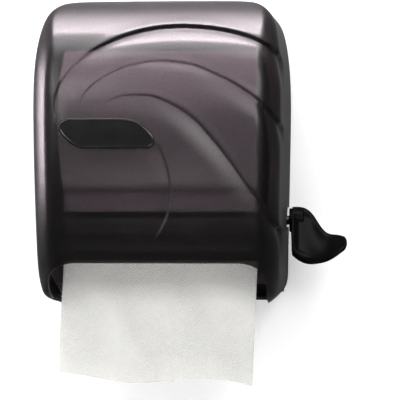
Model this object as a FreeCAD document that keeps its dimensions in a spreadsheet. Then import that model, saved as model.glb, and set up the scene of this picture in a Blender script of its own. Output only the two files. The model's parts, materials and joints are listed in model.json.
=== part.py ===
import FreeCAD, Part
import math
import os
import re

import Sketcher

# Lever paper towel dispenser for a wall.
# Frame: millimetres, +Z up, +X to the right of someone facing the dispenser, and the wall is
# the plane Y = 0. A depth is measured forward from the wall, so it points along -Y.
# The origin is the centre of the back face.

DOC = FreeCAD.newDocument("LeverTowelDispenser")
DIMS = DOC.addObject("Spreadsheet::Sheet", "dims")

SIZES = {
    # cover
    "half_height": 162.0,       # origin to the top of the cover, and to its feet
    "half_width": 134.5,        # at the widest, a little above the middle
    "crown_half": 92.0,         # half the gently domed stretch along the top
    "crown_drop": 4.6,
    "crown_rise": 1.5,          # of the outline over the brow, which trims it
    "shoulder_half": 121.0,
    "shoulder_drop": 24.0,
    "flank_half": 128.9,
    "flank_drop": 49.0,
    "waist_level": 34.0,        # level of the widest place
    "calf_half": 130.5,
    "calf_rise": 35.0,          # above the feet
    "ankle_half": 125.6,
    "ankle_rise": 13.0,
    "sole_half": 111.5,
    "cover_depth": 216.0,
    "belly_level": 10.0,        # level of the deepest place
    "cover_wall": 2.5,
    "front_round": 24.0,        # radius between the front and the flanks
    "rim_stand": 1.5,           # cover rim to wall
    "foot_depth": 60.0,         # the legs are open underneath as far as this
    "arch_half": 111.2,         # half the width between the cover's legs
    "arch_rise": 46.0,          # feet to the front lip
    "arch_corner_width": 29.0,
    "arch_corner_height": 20.0,
    "groove_depth": 1.2,
    "groove_width": 4.0,
    "plate_height": 30.5,       # nameplate
    "plate_left": -97.0,
    "plate_right": 0.5,
    "plate_low": -0.6,
    "plate_thick": 1.2,
    # back
    "back_gap": 1.2,            # cover wall to the edge of the back
    "back_thick": 3.0,
    "mount_half_x": 76.0,
    "mount_half_z": 90.0,
    "mount_hole": 2.75,
    "shelf_half": 110.2,
    "shelf_depth": 45.0,
    "frame_near": 113.5,        # inner face of each side frame
    "frame_thick": 3.0,
    "frame_rise": 110.0,        # feet to the top of the side frames
    "frame_foot": 8.0,          # feet to their lowest edge
    "frame_heel": 52.0,         # depth where that edge starts to rise
    "frame_chin": 40.0,         # feet to their lower front corner
    "frame_reach": 40.0,        # feed shaft to their front edge
    "flange_width": 14.0,
    "screw_shank": 1.6,
    "screw_head": 3.4,
    # feed rollers and paper path
    "feed_depth": 118.0,
    "feed_rise": 66.0,
    "grip_radius": 17.0,
    "feed_core": 14.0,
    "feed_half": 101.0,
    "feed_shaft": 4.0,
    "paper_thick": 0.5,
    "nip_gap": 0.2,             # each side of the paper
    "pinch_radius": 9.0,
    "pinch_shaft": 3.0,
    "ring_width": 15.0,
    "ring_pitch": 34.0,
    "run_fit": 0.05,            # radial clearance of a turning shaft
    "bush_wall": 3.0,
    "bail_edge": 6.0,           # pivot of the pressure bail to the frames' front edge
    "bail_rise": 94.0,
    "bail_near": 105.0,
    "bail_thick": 3.0,
    # tear bar and guides
    "blade_thick": 1.0,
    "blade_rise": 45.0,
    "blade_height": 8.5,
    "tooth_pitch": 4.0,
    "tooth_depth": 2.6,
    "guide_rise": 22.0,
    "guide_thick": 2.0,
    # towel
    "paper_width": 203.2,
    "paper_start": 118.0,       # feet to the tail's upper end
    "paper_hang": 78.0,         # feet down to its torn end
    "paper_skew": 7.0,          # sideways drift of the torn end
    # roll and arms
    "roll_depth": 104.0,
    "roll_rise": 190.0,
    "roll_radius": 78.0,
    "core_radius": 22.0,
    "core_wall": 2.5,
    "seat_gap": 0.3,
    "hub_seat": 3.6,
    "hub_tip": 15.5,
    "hub_length": 11.0,
    "arm_gap": 0.9,             # paper end to arm
    "arm_thick": 3.0,
    "arm_half": 15.0,
    "arm_pivot": 12.0,
    "arm_pin": 2.5,
    "knuckle": 5.5,
    # lever and gears
    "lever_depth": 45.0,
    "lever_rise": 88.0,
    "lever_shaft": 5.0,
    "lever_hub": 13.0,
    "hub_gap": 1.4,             # cover flank to lever
    "hub_width": 14.0,
    "gear_module": 1.5,
    "lever_teeth": 48.0,
    "idler_teeth": 24.0,
    "feed_teeth": 12.0,
    "gear_width": 6.0,
    "gear_gap": 1.8,            # side frame to gears
    "backlash": 0.25,
    "stud_radius": 3.0,
    "bumper_radius": 4.0,
    "wire_radius": 0.7,
    "coil_gap": 0.3,            # round the lever's bush
    "coil_pitch": 1.8,
    "clip_thick": 0.8,          # retaining clips on the shafts
    "clip_wall": 2.2,
    # hinge and lock
    "hinge_depth": 20.0,
    "hinge_rise": 16.0,
    "hinge_pin": 3.0,
    "hinge_boss": 7.0,
    "heel_radius": 18.3,        # round heel of each cover leg, about the hinge
    "lock_depth": 40.0,
    "lock_radius": 8.0,
    "lock_length": 16.0,
    "cam_length": 24.0,
    "cam_thick": 2.5,
    "hook_drop": 4.0,           # of the cam's tip, which goes down behind the catch
    "catch_half": 10.0,
    "catch_thick": 2.5,
    "lip_half": 4.0,
    "lip_thick": 2.0,
}

# Levels of what hangs above the feet, and depths that follow from others.
DERIVED = {
    "arch_top": "arch_rise - half_height",
    "frame_top": "frame_rise - half_height",
    "frame_low": "frame_foot - half_height",
    "frame_depth": "feed_depth + frame_reach",
    "feed_level": "feed_rise - half_height",
    "bail_depth": "frame_depth - bail_edge",
    "bail_level": "bail_rise - half_height",
    "blade_low": "blade_rise - half_height",
    "blade_high": "blade_low + blade_height",
    "guide_low": "guide_rise - half_height",
    "paper_top": "paper_start - half_height",
    "paper_end": "-half_height - paper_hang",
    "roll_level": "roll_rise - half_height",
    "lever_level": "lever_rise - half_height",
    "hinge_level": "hinge_rise - half_height",
}

for row, (alias, size) in enumerate(SIZES.items(), start=1):
    DIMS.set("A%d" % row, alias)
    DIMS.set("B%d" % row, str(size))
    DIMS.setAlias("B%d" % row, alias)
for row, (alias, formula) in enumerate(DERIVED.items(), start=len(SIZES) + 1):
    DIMS.set("A%d" % row, alias)
    DIMS.set("B%d" % row, "=" + formula)
    DIMS.setAlias("B%d" % row, alias)
    DOC.recompute()

NAME = re.compile(r"[a-z][a-z_]*")
PIECES = []


# ---- sizes, sketches and plain solids ----------------------------------------------------

def linked(text):
    """The formula with each size's name pointing at the sheet."""
    return NAME.sub(lambda found: "dims." + found.group()
                    if found.group() in SIZES or found.group() in DERIVED
                    else found.group(), text)


def mm(text):
    """The number that a formula of sizes gives now."""
    return float(DIMS.evalExpression(text))


def bind(thing, **formulas):
    """Ties properties to formulas; a double underscore in a keyword stands for a dot."""
    for prop, text in formulas.items():
        thing.setExpression(prop.replace("__", "."), linked(text))
    return thing


def keep(thing, label):
    """Names a finished sub-part and puts it on the list of pieces."""
    thing.Label = label
    PIECES.append(thing)
    return thing


def block(name, left, right, back, front, low, high):
    """A box between two X, two depths and two levels."""
    box = DOC.addObject("Part::Box", name)
    return bind(box, Length="(%s) - (%s)" % (right, left), Width="(%s) - (%s)" % (front, back),
                Height="(%s) - (%s)" % (high, low), Placement__Base__x=left,
                Placement__Base__y="-(%s)" % front, Placement__Base__z=low)


ALONG_X = FreeCAD.Rotation(FreeCAD.Vector(0, 1, 0), 90)


def rod(name, left, right, depth, level, radius):
    """A cylinder along X."""
    bar = DOC.addObject("Part::Cylinder", name)
    bar.Placement.Rotation = ALONG_X
    return bind(bar, Radius=radius, Height="(%s) - (%s)" % (right, left),
                Placement__Base__x=left, Placement__Base__y="-(%s)" % depth,
                Placement__Base__z=level)


def post(name, across, depth, low, high, radius):
    """A cylinder along Z."""
    bar = DOC.addObject("Part::Cylinder", name)
    return bind(bar, Radius=radius, Height="(%s) - (%s)" % (high, low),
                Placement__Base__x=across, Placement__Base__y="-(%s)" % depth,
                Placement__Base__z=low)


def peg(name, across, back, front, level, radius):
    """A cylinder along the depth."""
    bar = DOC.addObject("Part::Cylinder", name)
    bar.Placement.Rotation = FreeCAD.Rotation(FreeCAD.Vector(1, 0, 0), 90)
    return bind(bar, Radius=radius, Height="(%s) - (%s)" % (front, back),
                Placement__Base__x=across, Placement__Base__y="-(%s)" % back,
                Placement__Base__z=level)


def cut(name, base, *tools):
    """The base less its tools."""
    tool = tools[0] if len(tools) == 1 else fuse(name + "_tools", *tools)
    result = DOC.addObject("Part::Cut", name)
    result.Base = base
    result.Tool = tool
    return result


def fuse(name, *solids):
    """One solid of several that overlap or touch."""
    result = DOC.addObject("Part::MultiFuse", name)
    result.Shapes = list(solids)
    return result


def group(name, *solids):
    """Separate solids in one node."""
    result = DOC.addObject("Part::Compound", name)
    result.Links = list(solids)
    return result


def shape_of(name, shape):
    """A sub-part whose shape comes from Part's own functions."""
    thing = DOC.addObject("Part::Feature", name)
    thing.Shape = shape
    return thing


def sketch_on(body, role, offset="0"):
    """An empty sketch parallel to one of the body's own planes."""
    sketch = body.newObject("Sketcher::SketchObject", body.Name + "_sketch")
    plane = next(item for item in body.Origin.OriginFeatures if item.Role == role)
    sketch.AttachmentSupport = [(plane, "")]
    sketch.MapMode = "FlatFace"
    return bind(sketch, AttachmentOffset__Base__z=offset)


def pin_point(sketch, curve, point, across, up):
    """Holds a point of a sketched curve at a bound distance from the origin."""
    for kind, text in (("DistanceX", across), ("DistanceY", up)):
        index = sketch.addConstraint(Sketcher.Constraint(kind, curve, point, mm(text)))
        sketch.setExpression("Constraints[%d]" % index, linked(text))


def polygon(sketch, corners):
    """A closed outline of straight lines, each corner bound to the sheet."""
    first = sketch.GeometryCount
    spots = [FreeCAD.Vector(mm(across), mm(up), 0) for across, up in corners]
    for start, end in zip(spots, spots[1:] + spots[:1]):
        sketch.addGeometry(Part.LineSegment(start, end), False)
    count = len(corners)
    for side in range(count):
        after = first + (side + 1) % count
        sketch.addConstraint(Sketcher.Constraint("Coincident", first + side, 2, after, 1))
    for side, (across, up) in enumerate(corners):
        pin_point(sketch, first + side, 1, across, up)


def circle(sketch, across, up, radius):
    """A circle whose centre and radius are bound to the sheet."""
    centre = FreeCAD.Vector(mm(across), mm(up), 0)
    curve = sketch.addGeometry(Part.Circle(centre, FreeCAD.Vector(0, 0, 1), mm(radius)), False)
    pin_point(sketch, curve, 3, across, up)
    index = sketch.addConstraint(Sketcher.Constraint("Radius", curve, mm(radius)))
    sketch.setExpression("Constraints[%d]" % index, linked(radius))


def new_body(name):
    """An empty PartDesign body with its origin ready."""
    body = DOC.addObject("PartDesign::Body", name)
    DOC.recompute()
    return body


def plate(name, role, near, far, corners, holes=()):
    """A padded outline with round holes, between two offsets along the plane's normal."""
    body = new_body(name)
    sketch = sketch_on(body, role, near)
    polygon(sketch, corners)
    for hole in holes:
        circle(sketch, *hole)
    pad = body.newObject("PartDesign::Pad", name + "_pad")
    pad.Profile = sketch
    bind(pad, Length="(%s) - (%s)" % (far, near))
    return body


def turned(name, steps, depth, level):
    """A stepped bar turned about X: steps are (X, radius) corners of its half section."""
    body = new_body(name)
    sketch = sketch_on(body, "XY_Plane")
    polygon(sketch, steps)
    spin = body.newObject("PartDesign::Revolution", name + "_turn")
    spin.Profile = sketch
    spin.ReferenceAxis = (sketch, ["H_Axis"])
    spin.Angle = 360
    return bind(body, Placement__Base__y="-(%s)" % depth, Placement__Base__z=level)


def sides():
    """The two sides, each with a function that mirrors a pair of X formulas to it."""
    yield "left", lambda near, far: ("-(%s)" % far, "-(%s)" % near)
    yield "right", lambda near, far: (near, far)


# ---- cover -------------------------------------------------------------------------------

SKIN_BACK = 14.0     # how far the cover's forms run on behind the wall before they are trimmed
BEYOND = 20.0        # how far a cutting form stands past what it cuts


def front_points():
    """Right half of the cover's outline from the front, as X and level, from sole to crown."""
    top = mm("half_height")
    crown = mm("crown_half")
    return [(mm("sole_half"), -top),
            (mm("ankle_half"), mm("ankle_rise") - top),
            (mm("calf_half"), mm("calf_rise") - top),
            (mm("half_width"), mm("waist_level")),
            (mm("flank_half"), top - mm("flank_drop")),
            (mm("shoulder_half"), top - mm("shoulder_drop")),
            (crown, top - mm("crown_drop")),
            (crown / 2, top + mm("crown_rise") / 3),
            (0.0, top + mm("crown_rise"))]


def smooth(spots):
    """One smooth curve through the spots."""
    curve = Part.BSplineCurve()
    curve.interpolate(spots)
    return curve


def drawn_in(spots, inset, facing):
    """The spots of an outline, each moved square to it by an inset."""
    outline = smooth(spots)
    return [spot + facing.cross(outline.tangent(outline.parameter(spot))[0]) * inset
            for spot in spots]


FORWARD = FreeCAD.Vector(0, -1, 0)
RIGHT = FreeCAD.Vector(1, 0, 0)


def front_wire(inset):
    """The cover's outline in the plane of the wall, drawn in by an inset."""
    right = [FreeCAD.Vector(x, 0, z) for x, z in front_points()]
    left = [FreeCAD.Vector(-spot.x, 0, spot.z) for spot in reversed(right[:-1])]
    spots = drawn_in(right + left, inset, FORWARD)
    return Part.Wire([smooth(spots).toShape(), Part.makeLine(spots[-1], spots[0])])


def side_points():
    """The cover's profile from the side, as depth and level, from the wall over to the sole."""
    top = mm("half_height")
    deep = mm("cover_depth")
    belly = mm("belly_level")
    lip = mm("arch_top")
    return [(-SKIN_BACK, top),
            (deep * 0.23, top - 0.8),
            (deep * 0.51, top - 3.4),
            (deep * 0.78, top - 20),
            (deep * 0.926, top - 54),
            (deep - 1.5, belly + 42),
            (deep, belly),
            (deep - 8, belly - 65),
            (deep - 30, lip + 12),
            (deep - 66, lip - 22),
            (deep - 98, 11 - top),
            (deep - 131, -top)]


def side_wire(inset):
    """The closed side profile, drawn in by an inset, in the plane X = 0."""
    profile = [FreeCAD.Vector(0, -depth, level) for depth, level in side_points()]
    spots = drawn_in(profile, inset, RIGHT)
    corner = FreeCAD.Vector(0, SKIN_BACK, spots[-1].z)
    return Part.Wire([smooth(spots).toShape(), Part.makeLine(spots[-1], corner),
                      Part.makeLine(corner, spots[0])])


def side_prism(inset):
    """The side profile run across the whole width."""
    reach = mm("half_width") + BEYOND
    face = Part.Face(side_wire(inset))
    face.translate(FreeCAD.Vector(-reach, 0, 0))
    return face.extrude(FreeCAD.Vector(2 * reach, 0, 0))


def slab(back, front):
    """All the space between two depths."""
    wide = 2 * (mm("half_width") + BEYOND)
    tall = 2 * (mm("half_height") + BEYOND)
    return Part.makeBox(wide, front - back, tall, FreeCAD.Vector(-wide / 2, -front, -tall / 2))


def cover_form(inset):
    """The cover as a solid block, drawn in by an inset, with its front edge rounded."""
    face = Part.Face(front_wire(inset))
    face.translate(FreeCAD.Vector(0, SKIN_BACK, 0))
    tall = face.extrude(FreeCAD.Vector(0, -(SKIN_BACK + mm("cover_depth") + BEYOND), 0))
    form = tall.common(side_prism(inset)).Solids[0]
    brow = -0.5 * mm("cover_depth")
    front = [edge for edge in form.Edges
             if edge.BoundBox.YMin < brow and edge.BoundBox.XLength > 1
             and edge.BoundBox.ZLength > mm("half_height")]
    rounded = form.makeFillet(mm("front_round") - inset, front)
    return rounded.common(slab(mm("rim_stand"), mm("cover_depth") + BEYOND)).Solids[0]


def back_face(form):
    """The flat face of a cover form that looks at the wall."""
    plane = -mm("rim_stand")
    return next(face for face in form.Faces
                if abs(face.BoundBox.YMin - plane) < 1e-3 and face.BoundBox.YLength < 1e-3)


def groove_lines():
    """Middle lines of the three swept grooves in the front, as X and level."""
    yield [(-97, 20), (-100, 52), (-76, 89), (-36, 114), (10, 126), (64, 124), (104, 110)]
    yield [(-77, 41), (-48, 73), (4, 88), (56, 77), (104, 48)]
    yield [(-50, 45), (-19, 54), (32, 36), (77, -13), (104, -50)]


def groove_form(points, core):
    """One groove's cutting form: a ribbon along its points, in front of the core."""
    half = mm("groove_width") / 2
    middle = [FreeCAD.Vector(x, 0, z) for x, z in points]
    edges = []
    ends = []
    for offset in (half, -half):
        spots = drawn_in(middle, offset, FORWARD)
        edges.append(smooth(spots).toShape())
        ends.append((spots[0], spots[-1]))
    (high_start, high_end), (low_start, low_end) = ends
    edges += [Part.makeLine(high_start, low_start), Part.makeLine(high_end, low_end)]
    ribbon = Part.Face(Part.Wire(Part.__sortEdges__(edges)))
    ribbon.translate(FreeCAD.Vector(0, -0.7 * mm("cover_depth"), 0))
    return ribbon.extrude(FreeCAD.Vector(0, -0.4 * mm("cover_depth"), 0)).cut(core)


def cover_shell():
    """The cover's wall, open at the back: outer skin, inner skin and the rim between them."""
    core = side_prism(mm("groove_depth"))
    outer = cover_form(0).cut([groove_form(points, core) for points in groove_lines()])
    inner = cover_form(mm("cover_wall"))
    outer_back = back_face(outer)
    inner_back = back_face(inner)
    skins = [face for face in outer.Faces if not face.isSame(outer_back)]
    skins += [face.reversed() for face in inner.Faces if not face.isSame(inner_back)]
    skins += outer_back.cut(inner_back).Faces
    shell = Part.Shell(skins)
    shell.sewShape()
    return Part.Solid(shell)


def arch_form():
    """The opening between the legs: flat on top, with long rounded corners."""
    half = mm("arch_half")
    top = mm("arch_top")
    corner = mm("arch_corner_width")
    drop = mm("arch_corner_height")
    low = -mm("half_height") - BEYOND
    outline = []
    for side in (1, -1):
        oval = Part.Ellipse(FreeCAD.Vector(0, 0, 0), corner, drop)
        start, end = (0, math.pi / 2) if side == 1 else (math.pi / 2, math.pi)
        arc = Part.ArcOfEllipse(oval, start, end).toShape()
        arc.rotate(FreeCAD.Vector(0, 0, 0), FreeCAD.Vector(1, 0, 0), 90)
        arc.translate(FreeCAD.Vector(side * (half - corner), 0, top - drop))
        outline.append(arc)
        outline.append(Part.makeLine(FreeCAD.Vector(side * half, 0, top - drop),
                                     FreeCAD.Vector(side * half, 0, low)))
    outline.append(Part.makeLine(FreeCAD.Vector(corner - half, 0, top),
                                 FreeCAD.Vector(half - corner, 0, top)))
    outline.append(Part.makeLine(FreeCAD.Vector(-half, 0, low), FreeCAD.Vector(half, 0, low)))
    wire = Part.Wire(Part.__sortEdges__(outline))
    face = Part.Face(wire)
    return face.extrude(FreeCAD.Vector(0, -(mm("cover_depth") + BEYOND), 0))


def x_rod(left, right, depth, level, radius):
    """The bare shape of a cylinder along X."""
    return Part.makeCylinder(radius, right - left, FreeCAD.Vector(left, -depth, level),
                             FreeCAD.Vector(1, 0, 0))


def heel_cutters():
    """What is taken off each leg behind its hinge, so that the leg turns clear of the wall."""
    depth = mm("hinge_depth")
    level = mm("hinge_level")
    reach = mm("half_width") + BEYOND
    corner = Part.makeBox(2 * reach, depth, BEYOND + mm("half_height") + level,
                          FreeCAD.Vector(-reach, -depth, -mm("half_height") - BEYOND))
    return corner.cut(x_rod(-reach, reach, depth, level, mm("heel_radius")))


def foot_opening():
    """The legs are open underneath near the wall, and clear of the side frames' path."""
    deep = mm("foot_depth")
    low = -mm("half_height") - 1
    opening = []
    for half, rise in ((mm("half_width") - mm("cover_wall") - 8, mm("cover_wall") + 2),
                       (mm("frame_near + frame_thick") + 1.7, mm("ankle_rise"))):
        opening.append(Part.makeBox(2 * half, deep, rise, FreeCAD.Vector(-half, -deep, low)))
    return opening[0].fuse(opening[1])


def lever_notch():
    """A slot in the right flank, open to the wall, that lets the lever's shaft out."""
    tall = 2 * (mm("lever_shaft") + 3)
    depth = mm("lever_depth")
    level = mm("lever_level")
    left = mm("frame_near")
    right = mm("half_width") + BEYOND
    slot = Part.makeBox(right - left, depth, tall + 6,
                        FreeCAD.Vector(left, -depth, level - tall / 2))
    return slot.fuse(x_rod(left, right, depth, level, tall / 2))


def cover():
    """The front cover: a deep smoked shell on two legs, hinged at their heels."""
    lock_bore = Part.makeCylinder(mm("lock_radius + run_fit"), 2 * BEYOND,
                                  FreeCAD.Vector(0, -mm("lock_depth"), mm("half_height") - BEYOND))
    shape = cover_shell().cut([arch_form(), heel_cutters(), foot_opening(), lever_notch(),
                               lock_bore])
    near = mm("frame_near + frame_thick") + 1.2
    far = mm("ankle_half") - 0.6
    depth = mm("hinge_depth")
    level = mm("hinge_level")
    for side in (1, -1):
        start, end, stop = side * near, side * far, side * (far - 2)
        boss = x_rod(min(start, end), max(start, end), depth, level, mm("hinge_boss"))
        bore = x_rod(min(start, stop), max(start, stop), depth, level, mm("hinge_pin"))
        shape = shape.fuse(boss).cut(bore)
    return shape


def nameplate():
    """A thin lozenge-shaped plate, bare, on the left of the front."""
    left = mm("plate_left")
    right = mm("plate_right")
    low = mm("plate_low")
    high = low + mm("plate_height")
    bow = smooth([FreeCAD.Vector(right - 30, 0, high), FreeCAD.Vector(right - 18, 0, high - 3.2),
                  FreeCAD.Vector(right - 8, 0, high - 10), FreeCAD.Vector(right, 0, high - 20)])
    keel = smooth([FreeCAD.Vector(left + 8, 0, high), FreeCAD.Vector(left + 3, 0, high - 3),
                   FreeCAD.Vector(left, 0, high - 10), FreeCAD.Vector(left + 10, 0, high - 24),
                   FreeCAD.Vector(left + 24, 0, low)])
    toe = Part.Arc(FreeCAD.Vector(right, 0, high - 20), FreeCAD.Vector(right - 0.6, 0, low + 3),
                   FreeCAD.Vector(right - 5, 0, low))
    edges = [bow.toShape(), keel.toShape(), toe.toShape(),
             Part.makeLine(FreeCAD.Vector(left + 8, 0, high), FreeCAD.Vector(right - 30, 0, high)),
             Part.makeLine(FreeCAD.Vector(left + 24, 0, low), FreeCAD.Vector(right - 5, 0, low))]
    face = Part.Face(Part.Wire(Part.__sortEdges__(edges)))
    face.translate(FreeCAD.Vector(0, -0.8 * mm("cover_depth"), 0))
    tall = face.extrude(FreeCAD.Vector(0, -0.4 * mm("cover_depth"), 0))
    return tall.common(side_prism(-mm("plate_thick"))).cut(side_prism(0))


keep(shape_of("cover_skin", cover()), "front_cover")
keep(shape_of("name_plate", nameplate()), "nameplate")

for side, span in sides():
    left, right = span("frame_near - 0.8", "ankle_half - 2.6")
    keep(rod(side + "_pin", left, right, "hinge_depth", "hinge_level", "hinge_pin"),
         side + "_hinge_pin")

lock_top = "half_height - 0.6"
barrel = post("lock_body", "0", "lock_depth", "half_height - lock_length", lock_top, "lock_radius")
key_slot = block("key_slot", "-4.5", "4.5", "lock_depth - 0.7", "lock_depth + 0.7",
                 lock_top + " - 5", lock_top + " + 1")
nut_top = "half_height - cover_wall - 1.1"
collar = cut("lock_collar", post("lock_washer", "0", "lock_depth", nut_top + " - 4", nut_top,
                                 "lock_radius + 3.5"),
             post("lock_washer_bore", "0", "lock_depth", nut_top + " - 5", nut_top + " + 1",
                  "lock_radius + run_fit"))
keep(cut("lock_barrel_cut", barrel, key_slot), "lock_barrel")
keep(collar, "lock_nut")
cam_low = "half_height - lock_length - cam_thick"
hook_inner = "cam_length - 2.3"
cam_arm = plate("cam", "XY_Plane", cam_low, "half_height - lock_length",
                [("-lock_radius", "-lock_depth - 7"), ("cam_length", "-lock_depth - 5"),
                 ("cam_length", "-lock_depth + 5"), ("-lock_radius", "-lock_depth + 7")])
cam_hook = block("cam_hook", hook_inner, "cam_length", "lock_depth - 5", "lock_depth + 5",
                 cam_low + " - hook_drop", cam_low + " + 0.5")
keep(fuse("cam_body", cam_arm, cam_hook), "lock_cam")


# ---- back and side frames ----------------------------------------------------------------

RIB_WIDTH = 5.0
RIB_DEPTH = 4.0
RIB_PITCH = 47.5
RIB_SHORT = 15.0     # rib's end to the level of the wall screws
SHELF_THICK = 3.0
SOLE_GAP = 1.0       # feet to the underside of the shelf
EAR_WIDTH = 14.0
EAR_THICK = 5.0
EAR_GAP = 0.4        # round each arm's knuckle
EAR_NOSE = 7.0       # past the arm's pin


def back_plate():
    """The back: a plate that follows the cover's outline, with a shelf and arm brackets."""
    inset = mm("cover_wall + back_gap")
    thick = mm("back_thick")
    face = Part.Face(front_wire(inset))
    shape = face.extrude(FreeCAD.Vector(0, -thick, 0)).common(side_prism(inset))
    low = -mm("half_height")
    half = mm("shelf_half")
    shelf = Part.makeBox(2 * half, mm("shelf_depth"), SHELF_THICK,
                         FreeCAD.Vector(-half, -mm("shelf_depth"), low + SOLE_GAP))
    foot = Part.makeBox(2 * half, thick, 2 * SHELF_THICK,
                        FreeCAD.Vector(-half, -thick, low + SOLE_GAP))
    shape = shape.fuse([shelf, foot])
    heel_top = mm("hinge_level + heel_radius") + 1
    trim = Part.makeBox(BEYOND * 2, thick * 3, heel_top - low + BEYOND)
    for side in (1, -1):
        corner = trim.copy()
        start = half if side == 1 else -half - 2 * BEYOND
        corner.translate(FreeCAD.Vector(start, -2 * thick, low - BEYOND))
        shape = shape.cut(corner)
    rib_half = mm("mount_half_z") - RIB_SHORT
    rib = Part.makeBox(RIB_WIDTH, RIB_DEPTH, 2 * rib_half)
    for middle in (-RIB_PITCH, 0, RIB_PITCH):
        bar = rib.copy()
        bar.translate(FreeCAD.Vector(middle - RIB_WIDTH / 2, -thick - RIB_DEPTH, -rib_half))
        shape = shape.fuse(bar)
    pivot = mm("arm_pivot")
    level = mm("roll_level")
    across = arm_middle()
    for side in (1, -1):
        for start in (level + mm("arm_half") + EAR_GAP,
                      level - mm("arm_half") - EAR_GAP - EAR_THICK):
            ear = Part.makeBox(EAR_WIDTH, pivot + EAR_NOSE, EAR_THICK,
                               FreeCAD.Vector(side * across - EAR_WIDTH / 2, -pivot - EAR_NOSE,
                                              start))
            bore = Part.makeCylinder(mm("arm_pin"), 2 * EAR_THICK,
                                     FreeCAD.Vector(side * across, -pivot,
                                                    start - EAR_THICK / 2))
            shape = shape.fuse(ear).cut(bore)
    holes = []
    for x in (-mm("mount_half_x"), mm("mount_half_x")):
        for z in (-mm("mount_half_z"), mm("mount_half_z")):
            holes.append(Part.makeCylinder(mm("mount_hole"), 3 * thick, FreeCAD.Vector(x, thick, z),
                                           FreeCAD.Vector(0, -1, 0)))
    for x, z in screw_spots():
        holes.append(Part.makeCylinder(mm("screw_shank"), 3 * thick, FreeCAD.Vector(x, thick, z),
                                       FreeCAD.Vector(0, -1, 0)))
    return shape.cut(holes)


def arm_middle():
    """X of the middle of the right roll arm's plate."""
    return mm("paper_width / 2 + arm_gap + arm_thick / 2")


def screw_spots():
    """X and level of the screws that hold the side frames to the back."""
    for side in (-1, 1):
        for level in (mm("frame_top - flange_width"), mm("frame_low") + 26):
            yield side * (mm("frame_near") - mm("flange_width") / 2), level


keep(shape_of("back", back_plate()), "back_chassis")

for side, span in sides():
    near, far = span("frame_near", "frame_near + frame_thick")
    holes = [("-feed_depth", "feed_level", "feed_shaft + run_fit + bush_wall"),
             ("-bail_depth", "bail_level", "pinch_shaft + run_fit"),
             ("-hinge_depth", "hinge_level", "hinge_pin + run_fit")]
    if side == "right":
        holes.append(("-lever_depth", "lever_level", "lever_shaft + run_fit + bush_wall"))
    web = plate(side + "_web", "YZ_Plane", near, far,
                [("-back_thick", "frame_low"), ("-frame_heel", "frame_low"),
                 ("-frame_depth", "frame_chin - half_height"),
                 ("-frame_depth", "frame_top - bail_edge"),
                 ("-feed_depth + frame_reach * 0.45", "frame_top"),
                 ("-back_thick", "frame_top")], holes)
    inner, outer = span("frame_near - flange_width", "frame_near + 0.5")
    flange = block(side + "_flange", inner, outer, "back_thick", "2 * back_thick",
                   "frame_low + flange_width", "frame_top")
    bores = []
    for x, z in screw_spots():
        if (x > 0) == (side == "right"):
            bores.append(peg("%s_bore_%d" % (side, -z), "%g" % x, "0", "3 * back_thick", "%g" % z,
                             "screw_shank"))
    keep(cut(side + "_frame_cut", fuse(side + "_frame_body", web, flange), *bores),
         side + "_side_frame")

screws = []
for number, (x, z) in enumerate(screw_spots()):
    head = peg("screw_head_%d" % number, "%g" % x, "2 * back_thick", "2 * back_thick + 2.2",
               "%g" % z, "screw_head")
    shank = peg("screw_shank_%d" % number, "%g" % x, "0.4", "2 * back_thick + 0.5", "%g" % z,
                "screw_shank")
    screws.append(fuse("screw_%d" % number, head, shank))
keep(group("screw_set", *screws), "frame_screws")


# ---- feed roller, pinch roller and the bail that presses it --------------------------------

bushes = []
for side, span in sides():
    left, right = span("frame_near - 1.5", "frame_near + frame_thick + 1")
    bushes.append(cut(side + "_bush",
                      rod(side + "_bush_body", left, right, "feed_depth", "feed_level",
                          "feed_shaft + run_fit + bush_wall"),
                      rod(side + "_bush_bore", "%s - 1" % left, "%s + 1" % right, "feed_depth",
                          "feed_level", "feed_shaft + run_fit")))
keep(group("bush_set", *bushes), "roller_bushes")

gear_near = "frame_near + frame_thick + gear_gap"
gear_far = gear_near + " + gear_width"
keep(rod("shaft", "-(frame_near + frame_thick + 3)", gear_far + " + 1.5", "feed_depth",
         "feed_level", "feed_shaft"), "feed_shaft")
keep(turned("core", [("-feed_half", "feed_shaft"), ("-feed_half", "feed_core - 4"),
                     ("-feed_half + 3", "feed_core"), ("feed_half - 3", "feed_core"),
                     ("feed_half", "feed_core - 4"), ("feed_half", "feed_shaft")],
            "feed_depth", "feed_level"), "feed_roller")

rings = []
for number in range(6):
    middle = "(%g) * ring_pitch" % (number - 2.5)
    left = "%s - ring_width / 2" % middle
    right = "%s + ring_width / 2" % middle
    rings.append(turned("ring_%d" % number,
                        [(left, "feed_core"), (left, "grip_radius - 0.8"),
                         (left + " + 0.8", "grip_radius"), (right + " - 0.8", "grip_radius"),
                         (right, "grip_radius - 0.8"), (right, "feed_core")],
                        "feed_depth", "feed_level"))
keep(group("ring_set", *rings), "grip_rings")

paper_depth = "feed_depth + grip_radius + nip_gap + paper_thick / 2"
pinch_depth = "(feed_depth + grip_radius + 2 * nip_gap + paper_thick + pinch_radius)"
keep(rod("pinch_bar", "-(bail_near + bail_thick)", "bail_near + bail_thick", pinch_depth,
         "feed_level", "pinch_shaft"), "pinch_shaft")
sleeves = []
for number in range(3):
    middle = "(%g) * 2 * ring_pitch" % (number - 1)
    left = "%s - ring_pitch + 6" % middle
    right = "%s + ring_pitch - 6" % middle
    sleeves.append(turned("sleeve_%d" % number,
                          [(left, "pinch_shaft"), (left, "pinch_radius - 1"),
                           (left + " + 1", "pinch_radius"), (right + " - 1", "pinch_radius"),
                           (right, "pinch_radius - 1"), (right, "pinch_shaft")],
                          pinch_depth, "feed_level"))
keep(group("sleeve_set", *sleeves), "pinch_sleeves")

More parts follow.
